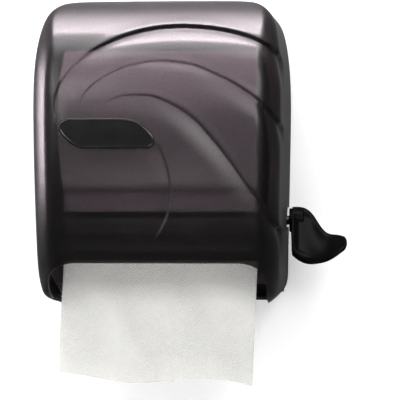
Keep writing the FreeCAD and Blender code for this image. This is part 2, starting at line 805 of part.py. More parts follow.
bail_parts = []
for side, span in sides():
    near, far = span("bail_near", "bail_near + bail_thick")
    bail_parts.append(plate(side + "_bail", "YZ_Plane", near, far,
                            [("-%s - 6" % pinch_depth, "feed_level - 6"),
                             ("-%s + 6" % pinch_depth, "feed_level - 6"),
                             ("-bail_depth + 6", "bail_level + 6"),
                             ("-bail_depth - 6", "bail_level + 6")],
                            [("-%s" % pinch_depth, "feed_level", "pinch_shaft + run_fit")]))
    near, far = span("bail_near + bail_thick - 1", "frame_near + frame_thick")
    bail_parts.append(rod(side + "_trunnion", near, far, "bail_depth", "bail_level",
                          "pinch_shaft"))
bail_parts.append(block("bail_bar", "-bail_near - 1", "bail_near + 1", "bail_depth - 4",
                        "bail_depth + 4", "bail_level - 3", "bail_level + 4"))
keep(fuse("bail_body", *bail_parts), "pressure_bail")


# ---- paper path --------------------------------------------------------------------------

def serrated_blade():
    """Outline of the tear bar: straight on top, saw teeth below."""
    half = mm("frame_near")
    low = mm("blade_low")
    high = mm("blade_high")
    pitch = mm("tooth_pitch")
    count = int(2 * half // pitch)
    start = -count * pitch / 2
    spots = [(-half, high), (-half, low + mm("tooth_depth")), (start, low + mm("tooth_depth"))]
    for tooth in range(count):
        spots.append((start + (tooth + 0.5) * pitch, low))
        spots.append((start + (tooth + 1) * pitch, low + mm("tooth_depth")))
    spots += [(half, low + mm("tooth_depth")), (half, high)]
    corners = [FreeCAD.Vector(x, 0, z) for x, z in spots + spots[:1]]
    back = mm(paper_depth) + 3
    blade = Part.Face(Part.makePolygon(corners))
    blade.translate(FreeCAD.Vector(0, -back, 0))
    return blade.extrude(FreeCAD.Vector(0, -mm("blade_thick"), 0))


keep(shape_of("blade", serrated_blade()), "tear_bar")
blade_front = "(%s + 3 + blade_thick)" % paper_depth
keep(plate("carrier", "YZ_Plane", "-frame_near", "frame_near",
           [("-%s" % blade_front, "blade_low + 4.5"), ("-%s - 7" % blade_front, "blade_low + 5.5"),
            ("-%s - 9" % blade_front, "blade_high + 1.5"), ("-%s" % blade_front, "blade_high + 1.5")]),
     "tear_bar_carrier")
keep(plate("guide", "YZ_Plane", "-frame_near", "frame_near",
           [("-feed_depth - 4", "feed_level - grip_radius - 2.5"),
            ("-feed_depth - 4", "guide_low"), ("-feed_depth - 4 + guide_thick", "guide_low"),
            ("-feed_depth - 4 + guide_thick", "feed_level - grip_radius - 3.5")]), "rear_guide")


def towel_sheet():
    """The towel's tail: flat between the rollers, a little askew, torn across its end."""
    half = mm("paper_width") / 2
    top = mm("paper_top")
    end = mm("paper_end")
    hang = mm("arch_top") + 8
    skew = mm("paper_skew")
    tear = smooth([FreeCAD.Vector(-half - skew, 0, end + 8),
                   FreeCAD.Vector(-half * 0.72 - skew, 0, end + 4.5),
                   FreeCAD.Vector(-half * 0.26 - skew, 0, end - 3),
                   FreeCAD.Vector(half * 0.3 - skew, 0, end + 0.5),
                   FreeCAD.Vector(half * 0.86 - skew, 0, end - 2),
                   FreeCAD.Vector(half - skew * 0.7, 0, end - 6)])
    rim = [FreeCAD.Vector(half - skew * 0.7, 0, end - 6), FreeCAD.Vector(half, 0, hang),
           FreeCAD.Vector(half, 0, top), FreeCAD.Vector(-half, 0, top),
           FreeCAD.Vector(-half, 0, hang), FreeCAD.Vector(-half - skew, 0, end + 8)]
    edges = [Part.makeLine(start, stop) for start, stop in zip(rim, rim[1:])]
    face = Part.Face(Part.Wire(Part.__sortEdges__(edges + [tear.toShape()])))
    face.translate(FreeCAD.Vector(0, -mm(paper_depth) + mm("paper_thick") / 2, 0))
    return face.extrude(FreeCAD.Vector(0, -mm("paper_thick"), 0))


keep(shape_of("towel", towel_sheet()), "towel_tail")


# ---- roll and its arms ---------------------------------------------------------------------

half_roll = "paper_width / 2"
keep(turned("roll", [("-%s" % half_roll, "core_radius"), ("-%s" % half_roll, "roll_radius"),
                     (half_roll, "roll_radius"), (half_roll, "core_radius")],
            "roll_depth", "roll_level"), "paper_roll")
keep(turned("tube", [("-%s" % half_roll, "core_radius - core_wall"),
                     ("-%s" % half_roll, "core_radius"), (half_roll, "core_radius"),
                     (half_roll, "core_radius - core_wall")],
            "roll_depth", "roll_level"), "roll_core")

pins = []
for side, span in sides():
    near, far = span("paper_width / 2 + arm_gap", "paper_width / 2 + arm_gap + arm_thick")
    blade = plate(side + "_arm", "YZ_Plane", near, far,
                  [("-arm_pivot", "roll_level - arm_half"),
                   ("-roll_depth", "roll_level - arm_half - 3"),
                   ("-roll_depth - 14", "roll_level - 11"), ("-roll_depth - 18", "roll_level"),
                   ("-roll_depth - 14", "roll_level + 11"),
                   ("-roll_depth", "roll_level + arm_half + 3"),
                   ("-arm_pivot", "roll_level + arm_half")],
                  [("-roll_depth * 0.45", "roll_level", "arm_half * 0.55")])
    sign = "-1" if side == "left" else "1"
    seat = "(core_radius - core_wall - seat_gap)"
    inner = "(paper_width / 2 - hub_seat)"
    tip = "(paper_width / 2 - hub_length)"
    hub = turned(side + "_hub",
                 [("%s * (paper_width / 2 + arm_gap)" % sign, "0"),
                  ("%s * (paper_width / 2 + arm_gap)" % sign, seat),
                  ("%s * %s" % (sign, inner), seat),
                  ("%s * %s" % (sign, tip), "hub_tip"), ("%s * %s" % (sign, tip), "0")],
                 "roll_depth", "roll_level")
    middle = "%s * (paper_width / 2 + arm_gap + arm_thick / 2)" % sign
    eye = post(side + "_knuckle", middle, "arm_pivot", "roll_level - arm_half",
               "roll_level + arm_half", "knuckle")
    bore = post(side + "_knuckle_bore", middle, "arm_pivot", "roll_level - arm_half - 1",
                "roll_level + arm_half + 1", "arm_pin + run_fit")
    keep(cut(side + "_arm_cut", fuse(side + "_arm_body", blade, hub, eye), bore),
         side + "_roll_arm")
    pins.append(post(side + "_arm_pin", middle, "arm_pivot", "roll_level - arm_half - 6",
                     "roll_level + arm_half + 6", "arm_pin"))
keep(group("arm_pin_set", *pins), "arm_pins")


# ---- lever and its gears -----------------------------------------------------------------

PRESSURE_ANGLE = math.radians(20)
ADDENDUM = 0.8       # stub teeth, in modules
DEDENDUM = 1.1
FLANK_STEPS = 4


def gear_face(teeth, phase):
    """A spur gear's outline in the plane X = 0, a tooth centred at the phase angle."""
    module = mm("gear_module")
    pitch = module * teeth / 2
    base = pitch * math.cos(PRESSURE_ANGLE)
    tip = pitch + ADDENDUM * module
    root = pitch - DEDENDUM * module
    half_tooth = math.pi / (2 * teeth) - mm("backlash") / (4 * pitch)

    def roll_angle(radius):
        """Polar angle of the involute where it reaches a radius."""
        slope = math.sqrt(max((radius / base) ** 2 - 1, 0))
        return slope - math.atan(slope)

    start = max(base, root)
    flank = [(start + (tip - start) * step / FLANK_STEPS) for step in range(FLANK_STEPS + 1)]
    half = [(radius, half_tooth + roll_angle(pitch) - roll_angle(radius)) for radius in flank]
    if root < base:
        half.insert(0, (root, half[0][1]))
    spots = []
    for tooth in range(teeth):
        centre = phase + tooth * 2 * math.pi / teeth
        sweep = [(radius, centre - turn) for radius, turn in half]
        sweep += [(radius, centre + turn) for radius, turn in reversed(half)]
        spots += [FreeCAD.Vector(0, radius * math.cos(turn), radius * math.sin(turn))
                  for radius, turn in sweep]
    return Part.Face(Part.makePolygon(spots + spots[:1]))


def gear_solid(teeth, phase, depth, level, bore):
    """A gear of the common width on an axis along X, with a round bore."""
    near = mm(gear_near)
    width = mm("gear_width")
    solid = gear_face(teeth, phase).extrude(FreeCAD.Vector(width, 0, 0))
    solid.translate(FreeCAD.Vector(near, -depth, level))
    return solid.cut(x_rod(near - 1, near + width + 1, depth, level, bore))


def idler_axis():
    """Depth and level of the idler: in mesh with the lever's gear and the roller's."""
    module = mm("gear_module")
    first = module * (mm("lever_teeth") + mm("idler_teeth")) / 2
    second = module * (mm("feed_teeth") + mm("idler_teeth")) / 2
    deep = mm("feed_depth") - mm("lever_depth")
    rise = mm("feed_level") - mm("lever_level")
    span = math.hypot(deep, rise)
    along_line = (first ** 2 - second ** 2 + span ** 2) / (2 * span)
    off_line = math.sqrt(first ** 2 - along_line ** 2)
    return (mm("lever_depth") + (along_line * deep - off_line * rise) / span,
            mm("lever_level") + (along_line * rise + off_line * deep) / span)


def bearing(start, end):
    """Direction from one axis to another, turned about +X from +Y."""
    return math.atan2(end[1] - start[1], start[0] - end[0])


LEVER_AXIS = (mm("lever_depth"), mm("lever_level"))
FEED_AXIS = (mm("feed_depth"), mm("feed_level"))
IDLER_AXIS = idler_axis()
SECTOR_LEAD = math.radians(56)      # teeth above the line to the idler
SECTOR_TRAIL = math.radians(14)     # and below it


def meshed_phase(phase, teeth, axis, other_axis, other_teeth):
    """Phase of a second gear that puts a gap where the first has a tooth."""
    forward = bearing(axis, other_axis)
    turn = teeth * (phase - forward)
    return forward + math.pi + (math.pi - turn) / other_teeth


def lever_gear():
    """The toothed sector on the lever's shaft, with a round hub."""
    teeth = int(mm("lever_teeth"))
    toward = bearing(LEVER_AXIS, IDLER_AXIS)
    depth, level = LEVER_AXIS
    whole = gear_solid(teeth, toward, depth, level, mm("lever_shaft"))
    near = mm(gear_near)
    width = mm("gear_width")
    reach = mm("gear_module") * teeth
    fan = [FreeCAD.Vector(near - 1, -depth, level)]
    for turn in (toward - SECTOR_LEAD, toward - SECTOR_LEAD / 3, toward + SECTOR_TRAIL):
        fan.append(FreeCAD.Vector(near - 1, -depth + reach * math.cos(turn),
                                  level + reach * math.sin(turn)))
    wedge = Part.Face(Part.makePolygon(fan + fan[:1])).extrude(FreeCAD.Vector(width + 2, 0, 0))
    hub = x_rod(near, near + width, depth, level, mm("lever_hub"))
    bore = x_rod(near - 1, near + width + 1, depth, level, mm("lever_shaft"))
    return whole.common(wedge).fuse(hub).cut(bore)


def stop_axis():
    """Where the rubber stop meets the sector's upper edge when the lever is at rest."""
    toward = bearing(LEVER_AXIS, IDLER_AXIS)
    out = 0.75 * mm("gear_module") * mm("lever_teeth") / 2
    lean = math.asin((mm("bumper_radius") + mm("seat_gap")) / out)
    turn = toward - SECTOR_LEAD - lean
    return LEVER_AXIS[0] - out * math.cos(turn), LEVER_AXIS[1] + out * math.sin(turn)


idler_phase = meshed_phase(bearing(LEVER_AXIS, IDLER_AXIS), mm("lever_teeth"), LEVER_AXIS,
                           IDLER_AXIS, mm("idler_teeth"))
feed_phase = meshed_phase(idler_phase, mm("idler_teeth"), IDLER_AXIS, FEED_AXIS, mm("feed_teeth"))
keep(shape_of("sector", lever_gear()), "lever_gear")
keep(shape_of("idler", gear_solid(int(mm("idler_teeth")), idler_phase, *IDLER_AXIS,
                                  mm("stud_radius + run_fit"))), "idler_gear")
keep(shape_of("pinion", gear_solid(int(mm("feed_teeth")), feed_phase, *FEED_AXIS,
                                   mm("feed_shaft + 1.6"))), "feed_gear")
keep(cut("clutch", rod("clutch_body", gear_near, gear_far, "feed_depth", "feed_level",
                       "feed_shaft + 1.6"),
         rod("clutch_bore", gear_near + " - 1", gear_far + " + 1", "feed_depth", "feed_level",
             "feed_shaft")), "one_way_clutch")


def stud():
    """The idler's stud: a shoulder on the frame, a journal and a retaining head."""
    frame = mm("frame_near + frame_thick")
    depth, level = IDLER_AXIS
    radius = mm("stud_radius")
    near = mm(gear_near)
    far = near + mm("gear_width")
    shoulder = x_rod(frame, near - 0.3, depth, level, radius + 2.5)
    journal = x_rod(frame, far + 0.3, depth, level, radius)
    head = x_rod(far + 0.3, far + 1.8, depth, level, radius + 1.5)
    return shoulder.fuse([journal, head])


keep(shape_of("idler_post", stud()), "idler_stud")
stop_depth, stop_level = stop_axis()
keep(shape_of("stop", x_rod(mm("frame_near + frame_thick"), mm(gear_far), stop_depth, stop_level,
                            mm("bumper_radius"))), "lever_stop")

hub_near = "half_width + hub_gap"
hub_far = "half_width + hub_gap + hub_width"
keep(cut("lever_bush_cut", rod("lever_bush_body", "frame_near - 10", "frame_near + frame_thick + 1",
                               "lever_depth", "lever_level", "lever_shaft + run_fit + bush_wall"),
         rod("lever_bush_bore", "frame_near - 11", "frame_near + frame_thick + 2", "lever_depth",
             "lever_level", "lever_shaft + run_fit")), "lever_bush")
keep(cut("lever_bar_cut", rod("lever_bar", "frame_near - 14", hub_far + " - 3", "lever_depth",
                              "lever_level", "lever_shaft"),
         rod("lever_bar_tap", hub_far + " - 12", hub_far, "lever_depth", "lever_level", "1.5")),
     "lever_shaft")

# Sections of the lever's blade, each an oval in a plane across X:
# X past the cover's flank, depth, level, half length, half thickness, slope below the level.
BLADE = [
    ("hub_gap + 0.4", "lever_depth + 17", "lever_level - 11", "30", "8", 52),
    ("hub_gap + 10", "lever_depth + 19", "lever_level - 15", "35", "7.5", 52),
    ("hub_gap + 22", "lever_depth + 24", "lever_level - 20", "33", "6.5", 50),
    ("hub_gap + 35", "lever_depth + 32", "lever_level - 29", "24", "5.5", 37),
    ("hub_gap + 48", "lever_depth + 38", "lever_level - 27", "20", "5", 26),
    ("hub_gap + 57", "lever_depth + 40", "lever_level - 24.5", "12", "3.5", 20),
]
ovals = []
for number, (past, depth, level, length, thick, slope) in enumerate(BLADE):
    lean = math.radians(slope)
    oval = DOC.addObject("Part::Ellipse", "blade_oval_%d" % number)
    oval.Placement.Rotation = FreeCAD.Rotation(
        FreeCAD.Vector(0, -math.cos(lean), -math.sin(lean)),
        FreeCAD.Vector(0, math.sin(lean), -math.cos(lean)), FreeCAD.Vector(1, 0, 0), "ZXY")
    ovals.append(bind(oval, MajorRadius=length, MinorRadius=thick,
                      Placement__Base__x="half_width + %s" % past,
                      Placement__Base__y="-(%s)" % depth, Placement__Base__z=level))
blade_loft = DOC.addObject("Part::Loft", "lever_blade")
blade_loft.Sections = ovals
blade_loft.Solid = True
hub = rod("lever_hub_body", hub_near, hub_far, "lever_depth", "lever_level", "lever_hub")
keep(cut("lever_cut", fuse("lever_body", blade_loft, hub),
         rod("lever_bore", hub_near + " - 1", hub_far + " - 3", "lever_depth", "lever_level",
             "lever_shaft"),
         rod("lever_screw_bore", hub_near, hub_far + " + 1", "lever_depth", "lever_level",
             "1.5"),
         rod("lever_head_bore", hub_far, hub_far + " + 20", "lever_depth", "lever_level",
             "4.3")), "lever_handle")
keep(fuse("lever_bolt", rod("lever_bolt_shank", hub_far + " - 11", hub_far + " + 0.5",
                            "lever_depth", "lever_level", "1.5"),
          rod("lever_bolt_head", hub_far, hub_far + " + 2", "lever_depth", "lever_level", "4")),
     "lever_screw")


def return_spring():
    """A torsion spring round the lever's bush, one leg on the frame and one on the shaft."""
    wire = mm("wire_radius")
    coil = mm("lever_shaft + run_fit + bush_wall + coil_gap") + wire
    depth, level = LEVER_AXIS
    start = mm("frame_near") - 9.5
    helix = Part.makeHelix(mm("coil_pitch"), 4 * mm("coil_pitch"), coil)
    circle_face = Part.Wire(Part.makeCircle(wire, FreeCAD.Vector(coil, 0, 0),
                                            FreeCAD.Vector(0, 1, 0)))
    spring = Part.Wire(helix).makePipeShell([circle_face], True, True)
    legs = [Part.makeCylinder(wire, 16, FreeCAD.Vector(coil, -16, 0), FreeCAD.Vector(0, 1, 0)),
            Part.makeCylinder(wire, 16, FreeCAD.Vector(coil, 0, 4 * mm("coil_pitch")),
                              FreeCAD.Vector(0, 1, 0))]
    spring = spring.fuse(legs)
    spring.rotate(FreeCAD.Vector(0, 0, 0), FreeCAD.Vector(0, 1, 0), 90)
    spring.translate(FreeCAD.Vector(start, -depth, level))
    return spring


keep(shape_of("spring", return_spring()), "return_spring")


# ---- retaining clips -----------------------------------------------------------------------

def clip(name, near, depth, level, shaft):
    """A round retaining clip on a shaft along X, with its near face at an X."""
    far = near + " + clip_thick"
    return cut(name, rod(name + "_disc", near, far, depth, level, shaft + " + clip_wall"),
               rod(name + "_hole", near + " - 1", far + " + 1", depth, level, shaft))


keep(clip("lever_ring", "frame_near - 10.3 - clip_thick", "lever_depth", "lever_level",
          "lever_shaft"), "lever_clip")
keep(group("feed_ring_set",
           clip("feed_ring_left", "-(frame_near + frame_thick + 1.3 + clip_thick)", "feed_depth",
                "feed_level", "feed_shaft"),
           clip("feed_ring_right", gear_far + " + 0.3", "feed_depth", "feed_level",
                "feed_shaft")), "feed_clips")


# ---- latch for the lock ------------------------------------------------------------------

lip_front = "lock_depth - (%s) + 2.7" % hook_inner
catch_top = cam_low + " - hook_drop - 1"
keep(fuse("catch_body",
          block("catch_shelf", "-catch_half", "catch_half", "back_thick", lip_front,
                catch_top + " - catch_thick", catch_top),
          block("catch_lip", "-lip_half", "lip_half", lip_front + " - lip_thick", lip_front,
                catch_top + " - 1", cam_low + " - 1")), "latch_catch")


# ---- check and write ---------------------------------------------------------------------

def main():
    """Recomputes the document, checks every object and writes one file for each piece."""
    DOC.recompute()
    for thing in DOC.Objects:
        if "Invalid" in thing.State or "Error" in thing.State:
            raise RuntimeError("%s: %s" % (thing.Name, thing.State))
    os.makedirs("parts", exist_ok=True)
    for piece in PIECES:
        shape = piece.Shape
        if shape.isNull() or not shape.isValid() or not shape.Solids:
            raise RuntimeError("%s has no valid solid" % piece.Label)
        shape.exportStep("parts/%s.step" % piece.Label)
        print("%-18s %3d solids %10.1f mm3" % (piece.Label, len(shape.Solids), shape.Volume))
    print("pieces", len(PIECES))


main()
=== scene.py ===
"""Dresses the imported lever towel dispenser: meshes, finishes, light and camera.

Lengths in the classes below are millimetres in the part's own frame, unless a name says
otherwise: X to the right, a depth forward of the wall (along -Y), and a level (along +Z).
They become metres where a mesh is made.
"""
import json
import logging
import math
from dataclasses import dataclass, field
from enum import Enum
from typing import Callable, Iterable, Sequence

import bmesh
import bpy
import numpy as np
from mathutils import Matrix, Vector


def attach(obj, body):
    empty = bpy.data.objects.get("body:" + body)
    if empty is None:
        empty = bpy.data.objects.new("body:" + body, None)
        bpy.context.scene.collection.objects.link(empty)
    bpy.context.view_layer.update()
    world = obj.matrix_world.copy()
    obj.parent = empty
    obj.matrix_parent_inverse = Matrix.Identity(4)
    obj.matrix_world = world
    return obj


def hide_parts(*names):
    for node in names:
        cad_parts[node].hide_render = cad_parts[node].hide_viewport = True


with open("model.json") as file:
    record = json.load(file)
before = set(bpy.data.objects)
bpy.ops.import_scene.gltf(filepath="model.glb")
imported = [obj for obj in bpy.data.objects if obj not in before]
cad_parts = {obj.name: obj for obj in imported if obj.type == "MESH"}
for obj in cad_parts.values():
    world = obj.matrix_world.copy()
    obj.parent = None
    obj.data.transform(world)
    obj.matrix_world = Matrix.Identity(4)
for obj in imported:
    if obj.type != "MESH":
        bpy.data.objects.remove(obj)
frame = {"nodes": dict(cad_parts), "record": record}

log = logging.getLogger("dispenser")
MM = 0.001

Spot = tuple[float, float]
Colour = tuple[float, float, float]
Place = tuple[float, float, float]


# ---- small helpers -------------------------------------------------------------------------

def smoothstep(low: float, high: float, value: np.ndarray) -> np.ndarray:
    """A smooth ramp from 0 at low to 1 at high."""
    share = np.clip((value - low) / (high - low), 0.0, 1.0)
    return share * share * (3.0 - 2.0 * share)


def bell(value: np.ndarray, width: float) -> np.ndarray:
    """A bell curve, 1 in the middle."""
    return np.exp(-(value / width) ** 2)


def spline(spots: Sequence[Spot], count: int) -> np.ndarray:
    """A smooth curve through spots.

    Args:
        spots: Points that the curve passes through.
        count: How many points to give back, evenly spaced in the curve's own parameter.

    Returns:
        An array of count rows and two columns.
    """
    points = np.asarray(spots, dtype=float)
    steps = np.hypot(*np.diff(points, axis=0).T)
    place = np.concatenate([[0.0], np.cumsum(steps)])
    number = len(points)
    system = np.zeros((number, number))
    right = np.zeros((number, 2))
    system[0, 0] = system[-1, -1] = 1.0
    for row in range(1, number - 1):
        before, after = steps[row - 1], steps[row]
        system[row, row - 1:row + 2] = before, 2.0 * (before + after), after
        rise_after = (points[row + 1] - points[row]) / after
        rise_before = (points[row] - points[row - 1]) / before
        right[row] = 6.0 * (rise_after - rise_before)
    bend = np.linalg.solve(system, right)
    wanted = np.linspace(0.0, place[-1], count)
    span = np.clip(np.searchsorted(place, wanted, side="right") - 1, 0, number - 2)
    run = steps[span][:, None]
    left = (place[span + 1] - wanted)[:, None]
    gone = (wanted - place[span])[:, None]
    return (bend[span] * left ** 3 / (6 * run) + bend[span + 1] * gone ** 3 / (6 * run)
            + (points[span] / run - bend[span] * run / 6) * left
            + (points[span + 1] / run - bend[span + 1] * run / 6) * gone)


def make_object(name: str, corners: np.ndarray, faces: Iterable[Sequence[int]],
                smooth: bool = True) -> bpy.types.Object:
    """A mesh object from corners in millimetres.

    Args:
        name: The object's name.
        corners: X, depth and level of each corner.
        faces: Corner numbers of each face.
        smooth: Whether the faces are shaded smooth.

    Returns:
        The new object, linked to the scene.
    """
    spots = np.array(corners, dtype=float) * MM
    spots[:, 1] *= -1.0
    mesh = bpy.data.meshes.new(name)
    mesh.from_pydata(spots.tolist(), [], [tuple(face) for face in faces])
    mesh.validate()
    mesh.polygons.foreach_set("use_smooth", [smooth] * len(mesh.polygons))
    mesh.update()
    thing = bpy.data.objects.new(name, mesh)
    bpy.context.scene.collection.objects.link(thing)
    return thing


def grid_faces(rows: int, columns: int, start: int = 0, closed: bool = False) -> list[list[int]]:
    """Four-sided faces of a grid of corners.

    Args:
        rows: Rows of corners.
        columns: Corners in a row.
        start: Number of the first corner.
        closed: Whether each row closes on itself.

    Returns:
        The faces' corner numbers.
    """
    faces = []
    last = columns if closed else columns - 1
    for row in range(rows - 1):
        for column in range(last):
            beside = (column + 1) % columns
            here = start + row * columns
            faces.append([here + column, here + beside,
                          here + columns + beside, here + columns + column])
    return faces


def outward(thing: bpy.types.Object) -> bpy.types.Object:
    """Joins the doubled corners of a closed mesh and turns its faces to look outward."""
    work = bmesh.new()
    work.from_mesh(thing.data)
    bmesh.ops.remove_doubles(work, verts=work.verts, dist=1e-6)
    bmesh.ops.recalc_face_normals(work, faces=work.faces)
    work.to_mesh(thing.data)
    work.free()
    return thing


def apply_modifiers(thing: bpy.types.Object) -> bpy.types.Object:
    """Makes the result of the object's modifiers its mesh."""
    graph = bpy.context.evaluated_depsgraph_get()
    mesh = bpy.data.meshes.new_from_object(thing.evaluated_get(graph))
    thing.modifiers.clear()
    thing.data = mesh
    return thing


class Way(Enum):
    """How one solid changes another."""
    ADD = "UNION"
    CUT = "DIFFERENCE"


def work(thing: bpy.types.Object, tool: bpy.types.Object, way: Way) -> None:
    """Adds a tool's solid to a thing or cuts it out, and removes the tool.

    Args:
        thing: The thing that is changed.
        tool: The tool's closed mesh.
        way: Whether the tool adds or cuts.
    """
    change = thing.modifiers.new("change", "BOOLEAN")
    change.object = tool
    change.operation = way.value
    change.solver = "MANIFOLD"
    apply_modifiers(thing)
    bpy.data.objects.remove(tool)


def prism(name: str, outline: Sequence[Spot], near: float, far: float,
          place: Callable[[float, float, float], Place]) -> bpy.types.Object:
    """A closed prism over an outline.

    Args:
        name: The object's name.
        outline: Corners of the outline.
        near: Where the prism starts, along its length.
        far: Where it ends.
        place: Turns (across, up, along) into X, depth and level.

    Returns:
        The prism.
    """
    count = len(outline)
    corners = [place(a, b, near) for a, b in outline] + [place(a, b, far) for a, b in outline]
    faces = [[side, (side + 1) % count, count + (side + 1) % count, count + side]
             for side in range(count)]
    faces += [list(range(count))[::-1], list(range(count, 2 * count))]
    return outward(make_object(name, np.array(corners), faces, smooth=False))


def run_forward(across: float, up: float, along: float) -> Place:
    """Lays a prism's length forward from the wall."""
    return across, along, up


def run_sideways(across: float, up: float, along: float) -> Place:
    """Lays a prism's length from left to right."""
    return along, across, up


def run_upward(across: float, up: float, along: float) -> Place:
    """Lays a prism's length upward."""
    return across, up, along


def round_outline(radius: float, across: float, up: float, count: int = 40) -> list[Spot]:
    """Corners of a circle."""
    turns = (2 * math.pi * step / count for step in range(count))
    return [(across + radius * math.cos(turn), up + radius * math.sin(turn)) for turn in turns]


# ---- finishes ------------------------------------------------------------------------------

class Nodes:
    """A material's node tree, with short calls to make and join its nodes."""

    def __init__(self, name: str) -> None:
        """Makes the material with a Principled shader.

        Args:
            name: The material's name.
        """
        self.material = bpy.data.materials.new(name)
        self.material.use_nodes = True
        self.tree = self.material.node_tree
        self.shader = self.tree.nodes["Principled BSDF"]
        self.place = self.tree.nodes.new("ShaderNodeTexCoord").outputs["Object"]

    def set(self, **values: object) -> "Nodes":
        """Sets the shader's own sockets; an underscore in a keyword stands for a space."""
        for socket, value in values.items():
            self.shader.inputs[socket.replace("_", " ")].default_value = value
        return self

    def node(self, kind: str, **inputs: object) -> bpy.types.Node:
        """A node, with inputs set or joined.

        Args:
            kind: The node's type, without its ShaderNode prefix.
            inputs: Values or output sockets, by the input's name, an underscore for a space.

        Returns:
            The new node.
        """
        made = self.tree.nodes.new("ShaderNode" + kind)
        for socket, value in inputs.items():
            entry = made.inputs[socket.replace("_", " ")]
            if isinstance(value, bpy.types.NodeSocket):
                self.tree.links.new(value, entry)
            else:
                entry.default_value = value
        return made

    def math(self, operation: str, first: object, second: object = 0.0) -> bpy.types.NodeSocket:
        """The output of a Math node."""
        made = self.tree.nodes.new("ShaderNodeMath")
        made.operation = operation
        for entry, value in zip(made.inputs, (first, second)):
            if isinstance(value, bpy.types.NodeSocket):
                self.tree.links.new(value, entry)
            else:
                entry.default_value = value
        return made.outputs[0]

    def noise(self, scale: float, detail: float = 3.0,
              where: bpy.types.NodeSocket | None = None) -> bpy.types.NodeSocket:
        """The value of a noise over the object's own place."""
        return self.node("TexNoise", Vector=where or self.place, Scale=scale,
                         Detail=detail).outputs[0]

    def stretched(self, scale: tuple[float, float, float],
                  turn: tuple[float, float, float] = (0.0, 0.0, 0.0)) -> bpy.types.NodeSocket:
        """The object's place, turned and stretched."""
        made = self.node("Mapping", Vector=self.place, Scale=scale)
        made.inputs["Rotation"].default_value = turn
        return made.outputs[0]

    def ramp(self, value: bpy.types.NodeSocket,
             stops: Sequence[tuple[float, Colour]]) -> bpy.types.NodeSocket:
        """A colour ramp over a value."""
        made = self.node("ValToRGB", Fac=value)
        elements = made.color_ramp.elements
        while len(elements) < len(stops):
            elements.new(0.5)
        for element, (spot, colour) in zip(elements, stops):
            element.position = spot
            element.color = (*colour, 1.0)
        return made.outputs[0]

    def spread(self, value: bpy.types.NodeSocket, low: float,
               high: float) -> bpy.types.NodeSocket:
        """A value from 0 to 1 mapped to run from low to high."""
        made = self.node("MapRange", Value=value)
        made.inputs["To Min"].default_value = low
        made.inputs["To Max"].default_value = high
        return made.outputs[0]

    def join(self, value: bpy.types.NodeSocket, socket: str) -> "Nodes":
        """Joins an output to one of the shader's inputs."""
        self.tree.links.new(value, self.shader.inputs[socket])
        return self

    def bump(self, height: bpy.types.NodeSocket, strength: float,
             distance: float) -> "Nodes":
        """Adds a bump, on top of one made before."""
        made = self.node("Bump", Height=height, Strength=strength, Distance=distance)
        entry = self.shader.inputs["Normal"]
        if entry.links:
            self.tree.links.new(entry.links[0].from_socket, made.inputs["Normal"])
        return self.join(made.outputs[0], "Normal")


def shade(colour: Colour, factor: float) -> Colour:
    """A colour made darker or lighter."""
    return tuple(min(1.0, part * factor) for part in colour)


@dataclass(frozen=True)
class Moulded:
    """Opaque moulded plastic with spark grain, slight mottling and handled patches."""
    name: str
    colour: Colour
    roughness: float = 0.5
    grain: float = 0.25
    gloss: float = 0.5

    def material(self) -> bpy.types.Material:
        """The plastic's material."""
        nodes = Nodes(self.name)
        nodes.set(Specular_IOR_Level=self.gloss)
        cloud = nodes.noise(18.0)
        fine = nodes.noise(1500.0, 2.0)
        nodes.join(nodes.ramp(cloud, [(0.3, shade(self.colour, 0.82)),
                                      (0.7, shade(self.colour, 1.12))]), "Base Color")
        patches = nodes.noise(40.0, 5.0)
        nodes.join(nodes.spread(patches, self.roughness - 0.1, self.roughness + 0.12),
                   "Roughness")
        nodes.bump(fine, self.grain, 0.0002)
        return nodes.material


